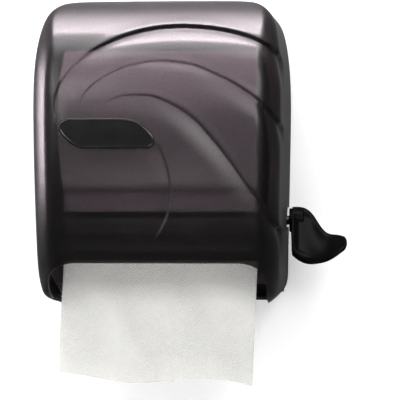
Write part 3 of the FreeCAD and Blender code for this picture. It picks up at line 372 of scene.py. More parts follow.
@dataclass(frozen=True)
class Smoked:
    """The cover's translucent smoked plastic: satin outside, hazy and dark within."""
    name: str
    tint: Colour
    body: Colour
    share: float = 0.72
    # Painted shade: the share of light that goes through low down, and the two levels over which
    # it changes
    shaded_share: float = 0.34
    shaded_levels: tuple[float, float] = (-0.088, -0.048)
    haze_share: float = 0.6
    haze: float = 0.5
    satin: float = 0.34

    def material(self) -> bpy.types.Material:
        """The plastic's material.

        Under a satin skin with fine speckles, part of the light goes straight through,
        tinted, part is spread by the haze, and the rest meets a dark body. Low down, in
        front of the rollers, less light goes through, set by level: painted shade for the
        dark, shaded inside there.

        Returns:
            The material.
        """
        nodes = Nodes(self.name)
        tree = nodes.tree
        nodes.set(IOR=1.5, Roughness=0.8, Specular_IOR_Level=0.0)
        cloud = nodes.noise(7.0, 4.0)
        speckle = nodes.noise(900.0, 2.0)
        nodes.join(nodes.ramp(cloud, [(0.25, shade(self.body, 0.8)),
                                      (0.75, shade(self.body, 1.2))]), "Base Color")
        tint = nodes.ramp(speckle, [(0.3, shade(self.tint, 0.86)),
                                    (0.7, shade(self.tint, 1.14))])
        straight = nodes.node("BsdfTransparent", Color=tint)
        spread = nodes.node("BsdfRefraction", Color=tint, Roughness=self.haze, IOR=1.02)
        through = nodes.node("MixShader", Fac=self.haze_share)
        tree.links.new(straight.outputs[0], through.inputs[1])
        tree.links.new(spread.outputs[0], through.inputs[2])
        # Painted shade: below these levels less light goes through, so the lower cover looks
        # darker
        level = nodes.node("SeparateXYZ", Vector=nodes.place).outputs["Z"]
        depth = nodes.node("MapRange", Value=level, From_Min=self.shaded_levels[0],
                           From_Max=self.shaded_levels[1], To_Min=self.shaded_share,
                           To_Max=self.share).outputs[0]
        inside = nodes.node("MixShader", Fac=depth)
        tree.links.new(nodes.shader.outputs[0], inside.inputs[1])
        tree.links.new(through.outputs[0], inside.inputs[2])
        grain = nodes.node("Bump", Height=nodes.noise(1100.0, 2.0), Strength=0.2,
                           Distance=0.0002).outputs[0]
        skin = nodes.node("BsdfAnisotropic", Normal=grain,
                          Roughness=nodes.spread(speckle, self.satin - 0.07,
                                                 self.satin + 0.09))
        edge = nodes.node("Fresnel", IOR=1.5, Normal=grain)
        whole = nodes.node("MixShader", Fac=edge.outputs[0])
        tree.links.new(inside.outputs[0], whole.inputs[1])
        tree.links.new(skin.outputs[0], whole.inputs[2])
        tree.links.new(whole.outputs[0], tree.nodes["Material Output"].inputs["Surface"])
        return nodes.material


@dataclass(frozen=True)
class Gloss:
    """Glossy plastic with faint polishing haze."""
    name: str
    colour: Colour

    def material(self) -> bpy.types.Material:
        """The glossy plastic's material."""
        nodes = Nodes(self.name)
        nodes.set(Coat_Weight=0.15, Coat_Roughness=0.08)
        cloud = nodes.noise(60.0)
        nodes.join(nodes.ramp(cloud, [(0.3, shade(self.colour, 0.7)),
                                      (0.7, shade(self.colour, 1.3))]), "Base Color")
        nodes.join(nodes.spread(nodes.noise(300.0, 5.0), 0.16, 0.26), "Roughness")
        nodes.bump(nodes.noise(700.0), 0.04, 0.0001)
        return nodes.material


@dataclass(frozen=True)
class Rubber:
    """Ground black rubber, a little dusty."""
    name: str
    colour: Colour

    def material(self) -> bpy.types.Material:
        """The rubber's material."""
        nodes = Nodes(self.name)
        nodes.join(nodes.ramp(nodes.noise(90.0, 6.0), [(0.35, self.colour),
                                                       (0.75, shade(self.colour, 2.0))]),
                   "Base Color")
        nodes.join(nodes.spread(nodes.noise(200.0), 0.75, 0.95), "Roughness")
        nodes.bump(nodes.noise(1100.0, 3.0), 0.5, 0.0003)
        return nodes.material


@dataclass(frozen=True)
class Metal:
    """Plated or bare metal with fine lines along X."""
    name: str
    colour: Colour
    roughness: float = 0.3

    def material(self) -> bpy.types.Material:
        """The metal's material."""
        nodes = Nodes(self.name)
        nodes.set(Metallic=1.0)
        lines = nodes.noise(40.0, 6.0, nodes.stretched((4.0, 260.0, 260.0)))
        cloud = nodes.noise(70.0, 4.0)
        nodes.join(nodes.ramp(cloud, [(0.3, shade(self.colour, 0.85)),
                                      (0.7, shade(self.colour, 1.1))]), "Base Color")
        nodes.join(nodes.spread(lines, self.roughness - 0.08, self.roughness + 0.15),
                   "Roughness")
        nodes.bump(lines, 0.12, 0.0002)
        return nodes.material


@dataclass(frozen=True)
class Paper:
    """Soft towel paper, embossed with small dots on slanting lines."""
    name: str
    colour: Colour
    pitch: float = 2.6

    def material(self) -> bpy.types.Material:
        """The paper's material."""
        nodes = Nodes(self.name)
        nodes.set(Subsurface_Weight=0.15, Subsurface_Radius=(0.002, 0.002, 0.002),
                  Sheen_Weight=0.15)
        nodes.shader.inputs["Specular IOR Level"].default_value = 0.2
        slant = nodes.stretched((1.0, 1.0, 1.0), (0.0, math.radians(32), 0.0))
        cells = nodes.node("TexVoronoi", Vector=slant, Scale=1.0 / (self.pitch * MM),
                           Randomness=0.18).outputs["Distance"]
        fibre = nodes.noise(2200.0, 4.0)
        cloud = nodes.noise(30.0, 4.0)
        dots = nodes.spread(cells, 0.0, 1.0)
        mixed = nodes.math("MULTIPLY_ADD", fibre, 0.25)
        nodes.tree.links.new(dots, mixed.node.inputs[2])
        # Base colour: darker in the middle of each embossed dot, where the bump dips, which is
        # painted shade in the dents; the cloud adds random tone
        nodes.join(nodes.ramp(nodes.math("ADD", nodes.math("MULTIPLY", cells, 0.5),
                                         nodes.math("MULTIPLY", cloud, 0.5)),
                              [(0.2, shade(self.colour, 0.86)), (0.6, self.colour)]),
                   "Base Color")
        nodes.join(nodes.spread(fibre, 0.85, 1.0), "Roughness")
        nodes.bump(mixed, 1.0, 0.0013)
        return nodes.material


@dataclass(frozen=True)
class Board:
    """Spiral-wound core board."""
    name: str
    colour: Colour

    def material(self) -> bpy.types.Material:
        """The board's material."""
        nodes = Nodes(self.name)
        fibre = nodes.noise(60.0, 8.0, nodes.stretched((8.0, 40.0, 40.0)))
        nodes.join(nodes.ramp(fibre, [(0.3, shade(self.colour, 0.8)),
                                      (0.7, shade(self.colour, 1.15))]), "Base Color")
        nodes.join(nodes.spread(fibre, 0.8, 0.95), "Roughness")
        nodes.bump(fibre, 0.3, 0.0003)
        return nodes.material


# ---- the cover -----------------------------------------------------------------------------

@dataclass
class CoverForm:
    """The cover's outer form: an outline from the front and a profile from the side."""
    half_height: float = 162.0
    half_width: float = 134.5
    waist_level: float = 34.0
    depth: float = 216.0
    rim: float = 1.5
    round_radius: float = 26.0
    taper: float = 9.7
    brow_fall: float = 9.0
    outline_half: Sequence[Spot] = ((116.0, -162.0), (128.0, -149.0), (131.5, -127.0),
                                    (134.5, 34.0), (129.5, 121.0), (122.0, 143.5),
                                    (108.0, 156.5), (88.0, 161.0), (44.0, 162.5),
                                    (0.0, 163.5))
    profile: Sequence[Spot] = ((-14.0, 162.0), (49.7, 161.2), (110.2, 158.6), (168.5, 142.0),
                               (200.0, 108.0), (214.5, 52.0), (216.0, 10.0), (213.0, -50.0),
                               (206.0, -92.0), (196.0, -125.0), (180.0, -145.0),
                               (150.0, -155.0), (85.0, -162.0))

    def __post_init__(self) -> None:
        """Works out the distance to the outline and the profile in every direction."""
        right = list(self.outline_half)
        left = [(-x, z) for x, z in reversed(right[:-1])]
        sole = [(x, -self.half_height) for x in np.linspace(-115.5, 115.5, 60)]
        self.outline = np.vstack([spline(right + left, 900), sole])
        floor = [(d, -self.half_height) for d in np.linspace(84.0, -14.0, 40)]
        self.side = np.vstack([spline(self.profile, 700), floor])
        self.outline_polar = self.polar(self.outline)
        self.side_polar = self.polar(self.side - np.array([self.rim, 0.0]))

    @staticmethod
    def polar(points: np.ndarray) -> tuple[np.ndarray, ...]:
        """A curve round the middle as a radius over direction.

        Args:
            points: The curve's points.

        Returns:
            Directions, radii, the cosine between the radius and the curve's normal, and
            how far the normal points up.
        """
        turn = np.arctan2(points[:, 1], points[:, 0])
        reach = np.hypot(points[:, 0], points[:, 1])
        order = np.argsort(turn)
        turn, reach = turn[order], reach[order]
        turn = np.concatenate([turn[-1:] - 2 * math.pi, turn, turn[:1] + 2 * math.pi])
        reach = np.concatenate([reach[-1:], reach, reach[:1]])
        even = np.linspace(-math.pi, math.pi, 4001)
        radius = np.interp(even, turn, reach)
        slope = np.gradient(radius, even)
        length = np.hypot(radius, slope)
        upward = (radius * np.sin(even) - slope * np.cos(even)) / length
        return even, radius, radius / length, upward

    @staticmethod
    def gap(across: np.ndarray, up: np.ndarray,
            polar: tuple[np.ndarray, ...]) -> tuple[np.ndarray, np.ndarray]:
        """About how far points lie outside a curve.

        Args:
            across: The points' first coordinate.
            up: Their second.
            polar: The curve, from polar().

        Returns:
            The distance, negative inside, and how far the curve's normal points up there.
        """
        turn = np.arctan2(up, across)
        even, radius, lean, upward = polar
        out = (np.hypot(across, up) - np.interp(turn, even, radius)) * np.interp(turn, even,
                                                                                 lean)
        return out, np.interp(turn, even, upward)

    def straightened(self, x: np.ndarray, depth: np.ndarray,
                     level: np.ndarray) -> tuple[np.ndarray, np.ndarray]:
        """X and level that points would have if the flanks did not lean in.

        Args:
            x: X of the points.
            depth: Their depth.
            level: Their level.

        Returns:
            The points' X and level, taken back to the plane of the wall.
        """
        share = depth / self.depth
        wide = x / (1.0 - share * self.taper / self.half_width)
        above = np.clip(level - self.waist_level, 0.0, None) / (self.half_height
                                                                - self.waist_level)
        return wide, level + share * self.brow_fall * above ** 2

    def outside(self, x: np.ndarray, depth: np.ndarray, level: np.ndarray,
                inset: float) -> np.ndarray:
        """How far points lie outside the form, drawn in by an inset.

        Args:
            x: X of the points.
            depth: Their depth.
            level: Their level.
            inset: How far the form is drawn in.

        Returns:
            The distance, negative inside.
        """
        flank, flank_up = self.gap(*self.straightened(x, depth, level), self.outline_polar)
        front, front_up = self.gap(depth - self.rim, level, self.side_polar)
        flank = flank + inset
        front = front + inset
        apart = 1.0 - np.clip(flank_up * front_up, 0.0, 1.0)
        radius = (self.round_radius - inset) * apart ** 1.5 * smoothstep(40.0, 110.0,
                                                                       depth) + 0.6
        corner = np.hypot(np.maximum(flank + radius, 0.0), np.maximum(front + radius, 0.0))
        return np.where((flank > -radius) & (front > -radius), corner - radius,
                        np.maximum(flank, front))

    def cast(self, way: np.ndarray, inset: float) -> np.ndarray:
        """Where rays from the middle of the back leave the form.

        Args:
            way: Rows of X, depth and level directions.
            inset: How far the form is drawn in.

        Returns:
            Points as rows of X, depth and level.
        """
        low = np.zeros(len(way))
        high = np.full(len(way), 320.0)
        for _ in range(32):
            middle = (low + high) / 2
            spot = way * middle[:, None]
            out = self.outside(spot[:, 0], spot[:, 1] + self.rim, spot[:, 2], inset) > 0
            high = np.where(out, middle, high)
            low = np.where(out, low, middle)
        spot = way * low[:, None]
        spot[:, 1] += self.rim
        return spot

    def front_depth(self, x: np.ndarray, level: np.ndarray) -> np.ndarray:
        """The depth of the front at places given by X and level."""
        low = np.full(len(x), self.rim + 30.0)
        high = np.full(len(x), self.depth + 10.0)
        for _ in range(26):
            middle = (low + high) / 2
            out = self.outside(x, middle, level, 0.0) > 0
            high = np.where(out, middle, high)
            low = np.where(out, low, middle)
        return low


@dataclass(frozen=True)
class Sweep:
    """One line that sweeps over the front: a sharp step in, then a long rise back out."""
    spots: Sequence[Spot]
    step: float
    width: float
    run_out: float
    lip: float = 0.3
    begin: float = 0.3
    full: float = 0.55
    fade_in: float = 0.10
    fade_out: float = 0.0

    def across(self, x: np.ndarray, level: np.ndarray) -> tuple[np.ndarray, np.ndarray]:
        """How far places lie inside the line, and how far along it.

        Args:
            x: X of the places.
            level: Their level.

        Returns:
            Distances, positive on the inner side, and shares of the line's length.
        """
        line = spline(self.spots, 300)
        run = np.gradient(line, axis=0)
        run /= np.hypot(run[:, 0], run[:, 1])[:, None]
        inner = np.full(len(x), 1e3)
        share = np.zeros(len(x))
        for part in np.array_split(np.arange(len(x)), max(1, len(x) // 4000)):
            away_x = x[part, None] - line[None, :, 0]
            away_z = level[part, None] - line[None, :, 1]
            nearest = np.argmin(away_x ** 2 + away_z ** 2, axis=1)
            pick = np.arange(len(part))
            near_x, near_z = away_x[pick, nearest], away_z[pick, nearest]
            side = near_x * run[nearest, 1] - near_z * run[nearest, 0]
            inner[part] = np.where(side < 0, -1.0, 1.0) * np.hypot(near_x, near_z)
            share[part] = nearest / (len(line) - 1)
        return inner, share

    def height(self, x: np.ndarray, level: np.ndarray) -> np.ndarray:
        """How far the line moves the surface outward at each place.

        Args:
            x: X of the places.
            level: Their level.

        Returns:
            Heights, negative in the groove.
        """
        spots = np.asarray(self.spots)
        low = spots.min(axis=0) - 45.0
        high = spots.max(axis=0) + 45.0
        close = np.flatnonzero((x > low[0]) & (x < high[0])
                               & (level > low[1]) & (level < high[1]))
        rise = np.zeros(len(x))
        inner, share = self.across(x[close], level[close])
        strength = self.begin + (1.0 - self.begin) * smoothstep(0.0, self.full, share)
        strength = strength * smoothstep(0.0, self.fade_in, share)
        if self.fade_out:
            strength = strength * (1.0 - smoothstep(1.0 - self.fade_out, 1.0, share))
        width = self.width * (0.5 + 0.5 * smoothstep(0.0, self.full, share))
        lip = self.lip * np.exp(-((inner + 1.2 * width) / (1.6 * width)) ** 2)
        drop = smoothstep(-0.5 * width, 0.5 * width, inner)
        rest = np.clip((inner - 0.5 * width) / self.run_out, 0.0, 1.0)
        rise[close] = strength * (lip - self.step * drop * (1.0 - rest) ** 2)
        return rise


@dataclass
class FrontCover:
    """The smoked front cover, on two legs, with its swept relief."""
    form: CoverForm = field(default_factory=CoverForm)
    wall: float = 2.5
    arch_half: float = 111.2
    arch_top: float = -116.0
    arch_corner: Spot = (29.0, 20.0)
    hinge: Spot = (20.0, -146.0)
    heel_radius: float = 18.3
    boss_radius: float = 7.0
    boss_ends: Spot = (117.7, 127.0)
    foot_depth: float = 60.0
    foot_half: float = 124.0
    foot_rise: float = 3.5
    frame_clear: float = 118.2
    frame_rise: float = 12.0
    lever_axis: Spot = (45.0, -74.0)
    lever_slot: float = 8.0
    lock_axis: Spot = (0.0, 40.0)
    lock_radius: float = 8.05
    arch_ends: Spot = (-5.0, 240.0)
    heel_ends: Spot = (-150.0, 150.0)
    notch_ends: Spot = (113.5, 150.0)
    bore_ends: Spot = (140.0, 175.0)
    turn_steps: int = 24
    grid: tuple[int, int, int] = (250, 70, 290)
    sweeps: Sequence[Sweep] = (
        Sweep(((-97, 17), (-101, 34), (-101, 49), (-96, 64), (-77, 89), (-37, 114), (9, 125.5),
               (46, 125), (83, 118), (103, 110.5), (118, 102), (126, 94), (131, 86)),
              step=4.0, width=2.4, run_out=30.0, begin=0.3, full=0.5),
        Sweep(((-77, 41.5), (-72, 53), (-63, 63.5), (-48, 74), (-31, 82), (-14, 86.5),
               (3, 88.6), (26, 86.7), (41, 84), (56.5, 77.5), (72, 70), (87, 61),
               (102, 50), (117, 36), (129, 21)),
              step=4.0, width=1.9, run_out=22.0, begin=0.3, full=0.9),
        Sweep(((-50, 45), (-36.5, 51.8), (-19.4, 54), (-2, 52.4), (15, 46), (31, 36.5),
               (44.5, 25.0), (54, 14.5), (65, 1.4), (77, -14.5), (89.5, -32.5), (102, -49),
               (114, -65), (126, -82)),
              step=5.0, width=2.5, run_out=26.0, begin=0.3, full=0.4),
        Sweep(((-0.5, 10.5), (7, -3.3), (12.7, -20.5), (15, -34), (15, -47), (12.7, -64),
               (5.8, -81), (-4.5, -98)),
              step=3.4, width=2.4, run_out=16.0, begin=0.5, full=0.35,
              fade_in=0.15, fade_out=0.3),
    )

    def skin(self, inset: float, relief: bool) -> np.ndarray:
        """Corners of one skin of the cover: a half cube of grids blown out to the form.

        Args:
            inset: How far the skin lies inside the outer form.
            relief: Whether the swept lines are raised on it.

        Returns:
            Rows of X, depth and level, face by face: front, right, left, top and bottom.
        """
        across, deep, up = self.grid
        form = self.form
        reach = np.array([134.0, form.depth, form.half_height])
        wide = np.linspace(-1.0, 1.0, across)
        tall = np.linspace(-1.0, 1.0, up)
        ahead = np.linspace(0.0, 1.0, deep)
        front_z, front_x = np.meshgrid(tall, wide, indexing="ij")
        ways = [np.stack([front_x.ravel(), np.ones(front_x.size), front_z.ravel()], axis=1)]
        side_z, side_d = np.meshgrid(tall, ahead, indexing="ij")
        for sign in (1.0, -1.0):
            ways.append(np.stack([np.full(side_z.size, sign), side_d.ravel(), side_z.ravel()],
                                 axis=1))
        cap_x, cap_d = np.meshgrid(wide, ahead, indexing="ij")
        for sign in (1.0, -1.0):
            ways.append(np.stack([cap_x.ravel(), cap_d.ravel(), np.full(cap_x.size, sign)],
                                 axis=1))
        way = np.vstack(ways) * reach
        way /= np.linalg.norm(way, axis=1)[:, None]
        spots = form.cast(way, inset)
        if relief:
            rise = sum(sweep.height(spots[:, 0], spots[:, 2]) for sweep in self.sweeps)
            facing = smoothstep(120.0, 165.0, spots[:, 1])
            step = 0.5
            normal = np.stack([
                form.outside(spots[:, 0] + step * (axis == 0), spots[:, 1] + step * (axis == 1),
                             spots[:, 2] + step * (axis == 2), inset)
                - form.outside(spots[:, 0], spots[:, 1], spots[:, 2], inset)
                for axis in range(3)], axis=1)
            normal /= np.linalg.norm(normal, axis=1)[:, None] + 1e-9
            spots = spots + normal * (rise * facing)[:, None]
        return spots

    def skin_faces(self, start: int) -> list[list[int]]:
        """Faces of one skin, whose first corner has the number start."""
        across, deep, up = self.grid
        faces = []
        for rows, columns in ((up, across), (up, deep), (up, deep), (across, deep),
                              (across, deep)):
            faces += grid_faces(rows, columns, start)
            start += rows * columns
        return faces

    def rim_rows(self) -> list[np.ndarray]:
        """Corner numbers along the rim at the wall, one run for each side face."""
        across, deep, up = self.grid
        start = up * across
        runs = []
        for rows in (up, up, across, across):
            runs.append(start + np.arange(rows) * deep)
            start += rows * deep
        return runs

    def shell(self) -> bpy.types.Object:
        """The closed wall of the cover before its openings are cut."""
        outer = self.skin(0.0, relief=True)
        inner = self.skin(self.wall, relief=True)
        count = len(outer)
        faces = self.skin_faces(0) + self.skin_faces(count)
        for run in self.rim_rows():
            faces += [[int(a), int(b), int(b) + count, int(a) + count]
                      for a, b in zip(run, run[1:])]
        return outward(make_object("cover_shell", np.vstack([outer, inner]), faces))

    def arch_outline(self) -> list[Spot]:
        """The opening between the legs, as X and level."""
        wide, tall = self.arch_corner
        top = self.arch_top
        low = -self.form.half_height - 20.0
        spots = [(self.arch_half, low)]
        for turn in np.linspace(0.0, math.pi / 2, self.turn_steps):
            spots.append((self.arch_half - wide + wide * math.cos(turn),
                          top - tall + tall * math.sin(turn)))
        return spots + [(-x, z) for x, z in reversed(spots)]

    def cutters(self) -> list[bpy.types.Object]:
        """Everything that is cut out of the shell."""
        low = -self.form.half_height
        arch = prism("arch", self.arch_outline(), *self.arch_ends, run_forward)
        foot, foot_top = self.foot_half, low + self.foot_rise
        clear, clear_top = self.frame_clear, low + self.frame_rise
        feet = [prism("foot_gap", [(-foot, low - 1), (foot, low - 1), (foot, foot_top),
                                   (-foot, foot_top)], -5.0, self.foot_depth, run_forward),
                prism("frame_gap", [(-clear, low - 1.5), (clear, low - 1.5),
                                    (clear, clear_top), (-clear, clear_top)],
                      -5.5, self.foot_depth + 0.2, run_forward)]
        depth, level = self.hinge
        heel = [(-5.2, low - 8.0), (depth, low - 8.0)]
        for turn in np.linspace(-math.pi / 2, -math.pi, self.turn_steps):
            heel.append((depth + self.heel_radius * math.cos(turn),
                         level + self.heel_radius * math.sin(turn)))
        heel.append((-5.2, level))
        heels = prism("heels", heel, *self.heel_ends, run_sideways)
        slot_depth, slot_level = self.lever_axis
        radius = self.lever_slot
        slot = [(-6.0, slot_level - radius), (slot_depth, slot_level - radius)]
        for turn in np.linspace(-math.pi / 2, math.pi / 2, self.turn_steps)[1:]:
            slot.append((slot_depth + radius * math.cos(turn),
                         slot_level + radius * math.sin(turn)))
        slot += [(slot_depth - 0.5, slot_level + radius + 6), (-6.0, slot_level + radius + 6)]
        notch = prism("lever_notch", slot, *self.notch_ends, run_sideways)
        bore = prism("lock_bore", round_outline(self.lock_radius, *self.lock_axis),
                     *self.bore_ends, run_upward)
        return [arch, *feet, heels, notch, bore]

    def bosses(self) -> list[bpy.types.Object]:
        """The hinge bosses inside the heels of the legs."""
        made = []
        near, far = self.boss_ends
        for sign in (-1.0, 1.0):
            ends = sorted((sign * near, sign * far))
            made.append(prism("hinge_boss", round_outline(self.boss_radius, *self.hinge),
                              *ends, run_sideways))
        return made

    def build(self) -> bpy.types.Object:
        """The whole cover, ready for its finish."""
        shell = self.shell()
        shell.name = "smoked_cover"
        for tool in self.cutters():
            work(shell, tool, Way.CUT)
        for tool in self.bosses():
            work(shell, tool, Way.ADD)
        mesh = shell.data
        mesh.polygons.foreach_set("use_smooth", [True] * len(mesh.polygons))
        mesh.set_sharp_from_angle(angle=math.radians(40))
        return shell


# ---- nameplate -----------------------------------------------------------------------------

@dataclass
class Nameplate:
    """The bare glossy plate, with a thin raised border inside its edge."""
    form: CoverForm
    outline: Sequence[Spot] = ((-97.0, 20.0), (-94.6, 26.4), (-89.0, 29.7), (-80.0, 29.9),
                               (-65.0, 29.9), (-48.0, 29.9), (-36.0, 29.8), (-29.0, 29.3),
                               (-17.5, 26.5), (-7.5, 19.7), (-0.6, 11.0), (0.3, 7.2),
                               (-1.2, 2.6), (-4.6, -0.2), (-10.0, -0.6), (-28.0, -0.6),
                               (-50.0, -0.6), (-64.0, -0.6), (-73.0, -0.4), (-81.0, 2.4),
                               (-89.0, 8.2), (-94.8, 14.6))
    thick: float = 1.2
    rounding: float = 0.7
    border_inset: float = 2.0
    border_width: float = 0.9
    border_rise: float = 0.25
    rings: int = 26

    def closed_outline(self) -> np.ndarray:
        """The outline as a smooth closed run of points."""
        spots = list(self.outline)
        wrapped = spots[-3:] + spots + spots[:4]
        line = spline(wrapped, 900)
        start = np.argmin(np.hypot(*(line - np.array(spots[0])).T)[:300])
        end = 500 + np.argmin(np.hypot(*(line[500:] - np.array(spots[0])).T))
        return line[start:end]

    def build(self) -> bpy.types.Object:
        """The plate: rings from its edge to its middle, laid on the cover's front."""
        edge = self.closed_outline()
        run = np.gradient(edge, axis=0)
        run /= np.hypot(run[:, 0], run[:, 1])[:, None]
        inward = np.stack([run[:, 1], -run[:, 0]], axis=1)
        middle = edge.mean(axis=0)
        if np.sum(inward * (middle - edge)) < 0:
            inward = -inward
        insets = np.concatenate([[0.0, 0.0], np.linspace(0.15, 5.0, self.rings)])
        heights = []
        for number, inset in enumerate(insets):
            lift = self.thick if number else 0.0
            drop = self.rounding * max(0.0, 1.0 - inset / self.rounding) ** 2 if number else 0.0
            border = self.border_rise * float(bell(np.array(inset - self.border_inset),
                                                   self.border_width / 2))
            heights.append(lift - drop + border)
        corners = []
        for inset, height in zip(insets, heights):
            ring = edge + inward * inset
            depth = self.form.front_depth(ring[:, 0], ring[:, 1])
            corners.append(np.stack([ring[:, 0], depth + height, ring[:, 1]], axis=1))
        count = len(edge)
        spine_low, spine_high = edge[:, 0].min() + 16.0, edge[:, 0].max() - 14.0
        centre_level = 14.5
        inner = edge + inward * insets[-1]
        for share in (0.35, 0.7, 1.0):
            goal = np.stack([np.clip(inner[:, 0], spine_low, spine_high),
                             np.full(count, centre_level)], axis=1)
            ring = inner + (goal - inner) * share
            depth = self.form.front_depth(ring[:, 0], ring[:, 1])
            corners.append(np.stack([ring[:, 0], depth + self.thick, ring[:, 1]], axis=1))
        back = edge
        depth = self.form.front_depth(back[:, 0], back[:, 1])
        first = [np.stack([middle[0] + (back[:, 0] - middle[0]) * 0.02,
                           self.form.front_depth(np.full(count, middle[0]),
                                                 np.full(count, middle[1])),
                           middle[1] + (back[:, 1] - middle[1]) * 0.02], axis=1)]
        for share in (0.4, 0.8):
            ring = middle + (back - middle) * share
            first.append(np.stack([ring[:, 0], self.form.front_depth(ring[:, 0], ring[:, 1]),
                                   ring[:, 1]], axis=1))
        rows = first + corners
        faces = grid_faces(len(rows), count, closed=True)
        faces.append(list(range(count)))
        plate = make_object("name_plate", np.vstack(rows), faces)
        return outward(plate)


# ---- lever ---------------------------------------------------------------------------------

@dataclass(frozen=True)
class BladeSection:
    """One slice of the lever's blade across X."""
    x: float
    depth: float
    level: float
    length: float
    thick: float
    slope: float


@dataclass
class Lever:
    """The lever: a dished paddle on a round hub."""
    axis: Spot = (45.0, -74.0)
    hub_radius: float = 13.0
    hub_ends: Spot = (133.0, 148.9)
    shaft_radius: float = 5.0
    screw_radius: float = 1.5
    head_radius: float = 4.3
    dish: float = 0.55
    around: int = 72
    slices: int = 90
    sections: Sequence[BladeSection] = (
        BladeSection(135.1, 62.0, -85.0, 31.0, 8.0, 52.0),
        BladeSection(145.9, 64.0, -89.0, 36.0, 7.5, 52.0),
        BladeSection(158.4, 69.0, -94.0, 34.0, 6.5, 50.0),
        BladeSection(171.9, 77.0, -102.0, 25.0, 5.5, 37.0),
        BladeSection(185.4, 83.0, -100.0, 21.0, 5.0, 26.0),
        BladeSection(195.1, 85.0, -97.5, 12.0, 3.5, 20.0),
    )

    def blade(self) -> bpy.types.Object:
        """The paddle, dished on the side that the hand pushes."""
        keys = np.array([[s.x, s.depth, s.level, s.length, s.thick, math.radians(s.slope)]
                         for s in self.sections])
        place = np.linspace(0.0, 1.0, self.slices)
        grown = np.linspace(0.0, 1.0, len(keys))
        rows = np.stack([spline(np.stack([grown * 100, keys[:, part]], axis=1).tolist(),
                                self.slices)[:, 1] for part in range(6)], axis=1)
        turns = np.linspace(0.0, 2 * math.pi, self.around, endpoint=False)
        corners = []
        for share, (x, depth, level, length, thick, slope) in zip(place, rows):
            tip = math.sqrt(max(0.0, 1.0 - max(0.0, (share - 0.93) / 0.07) ** 2))
            root = math.sqrt(max(0.0, 1.0 - max(0.0, (0.03 - share) / 0.03) ** 2))
            size = max(tip * root, 0.02)
            along = np.sign(np.cos(turns)) * np.abs(np.cos(turns)) ** 0.85 * length * size
            flat = np.sin(turns)
            over = np.sign(flat) * np.abs(flat) ** 0.75 * thick * size
            hollow = self.dish * thick * np.clip(flat, 0.0, 1.0) * size
            hollow *= 1.0 - smoothstep(0.62, 0.9, np.abs(along) / (length * size))
            hollow *= smoothstep(0.04, 0.16, np.full(1, share)) * (
                1.0 - smoothstep(0.84, 0.95, np.full(1, share)))
            over = over - hollow
            corners.append(np.stack([np.full(self.around, x),
                                     depth + along * math.cos(slope) + over * math.sin(slope),
                                     level - along * math.sin(slope) + over * math.cos(slope)],
                                    axis=1))
        faces = grid_faces(self.slices, self.around, closed=True)
        last = (self.slices - 1) * self.around
        faces.append(list(range(self.around))[::-1])
        faces.append(list(range(last, last + self.around)))
        return outward(make_object("lever_blade", np.vstack(corners), faces))

    def hub(self) -> bpy.types.Object:
        """The hub, with softened edges."""
        steps = [(0.0, 0.88), (0.01, 0.93), (0.045, 0.985), (0.09, 1.0),
                 (0.91, 1.0), (0.955, 0.985), (0.99, 0.93), (1.0, 0.88)]
        near, far = self.hub_ends
        depth, level = self.axis
        turns = np.linspace(0.0, 2 * math.pi, self.around, endpoint=False)
        corners = []
        for share, size in steps:
            radius = size * self.hub_radius
            corners.append(np.stack([np.full(self.around, near + (far - near) * share),
                                     depth + radius * np.cos(turns),
                                     level + radius * np.sin(turns)], axis=1))
        faces = grid_faces(len(steps), self.around, closed=True)
        last = (len(steps) - 1) * self.around
        faces.append(list(range(self.around))[::-1])
        faces.append(list(range(last, last + self.around)))
        return outward(make_object("lever_hub", np.vstack(corners), faces))

    def build(self) -> bpy.types.Object:
        """The whole lever."""
        blade = self.blade()
        hub = self.hub()
        near, far = self.hub_ends
        bore = prism("lever_bore", round_outline(self.shaft_radius, *self.axis), near - 1,
                     far - 3, run_sideways)
        screw = prism("lever_screw_bore", round_outline(self.screw_radius, *self.axis), near,
                      far + 1, run_sideways)
        head = prism("lever_head_bore", round_outline(self.head_radius, *self.axis), far,
                     far + 6, run_sideways)
        blade.name = "push_lever"
        work(blade, hub, Way.ADD)
        for tool in (bore, screw, head):
            work(blade, tool, Way.CUT)
        blade.data.polygons.foreach_set("use_smooth", [True] * len(blade.data.polygons))
        blade.data.set_sharp_from_angle(angle=math.radians(45))
        return blade


# ---- towel ---------------------------------------------------------------------------------

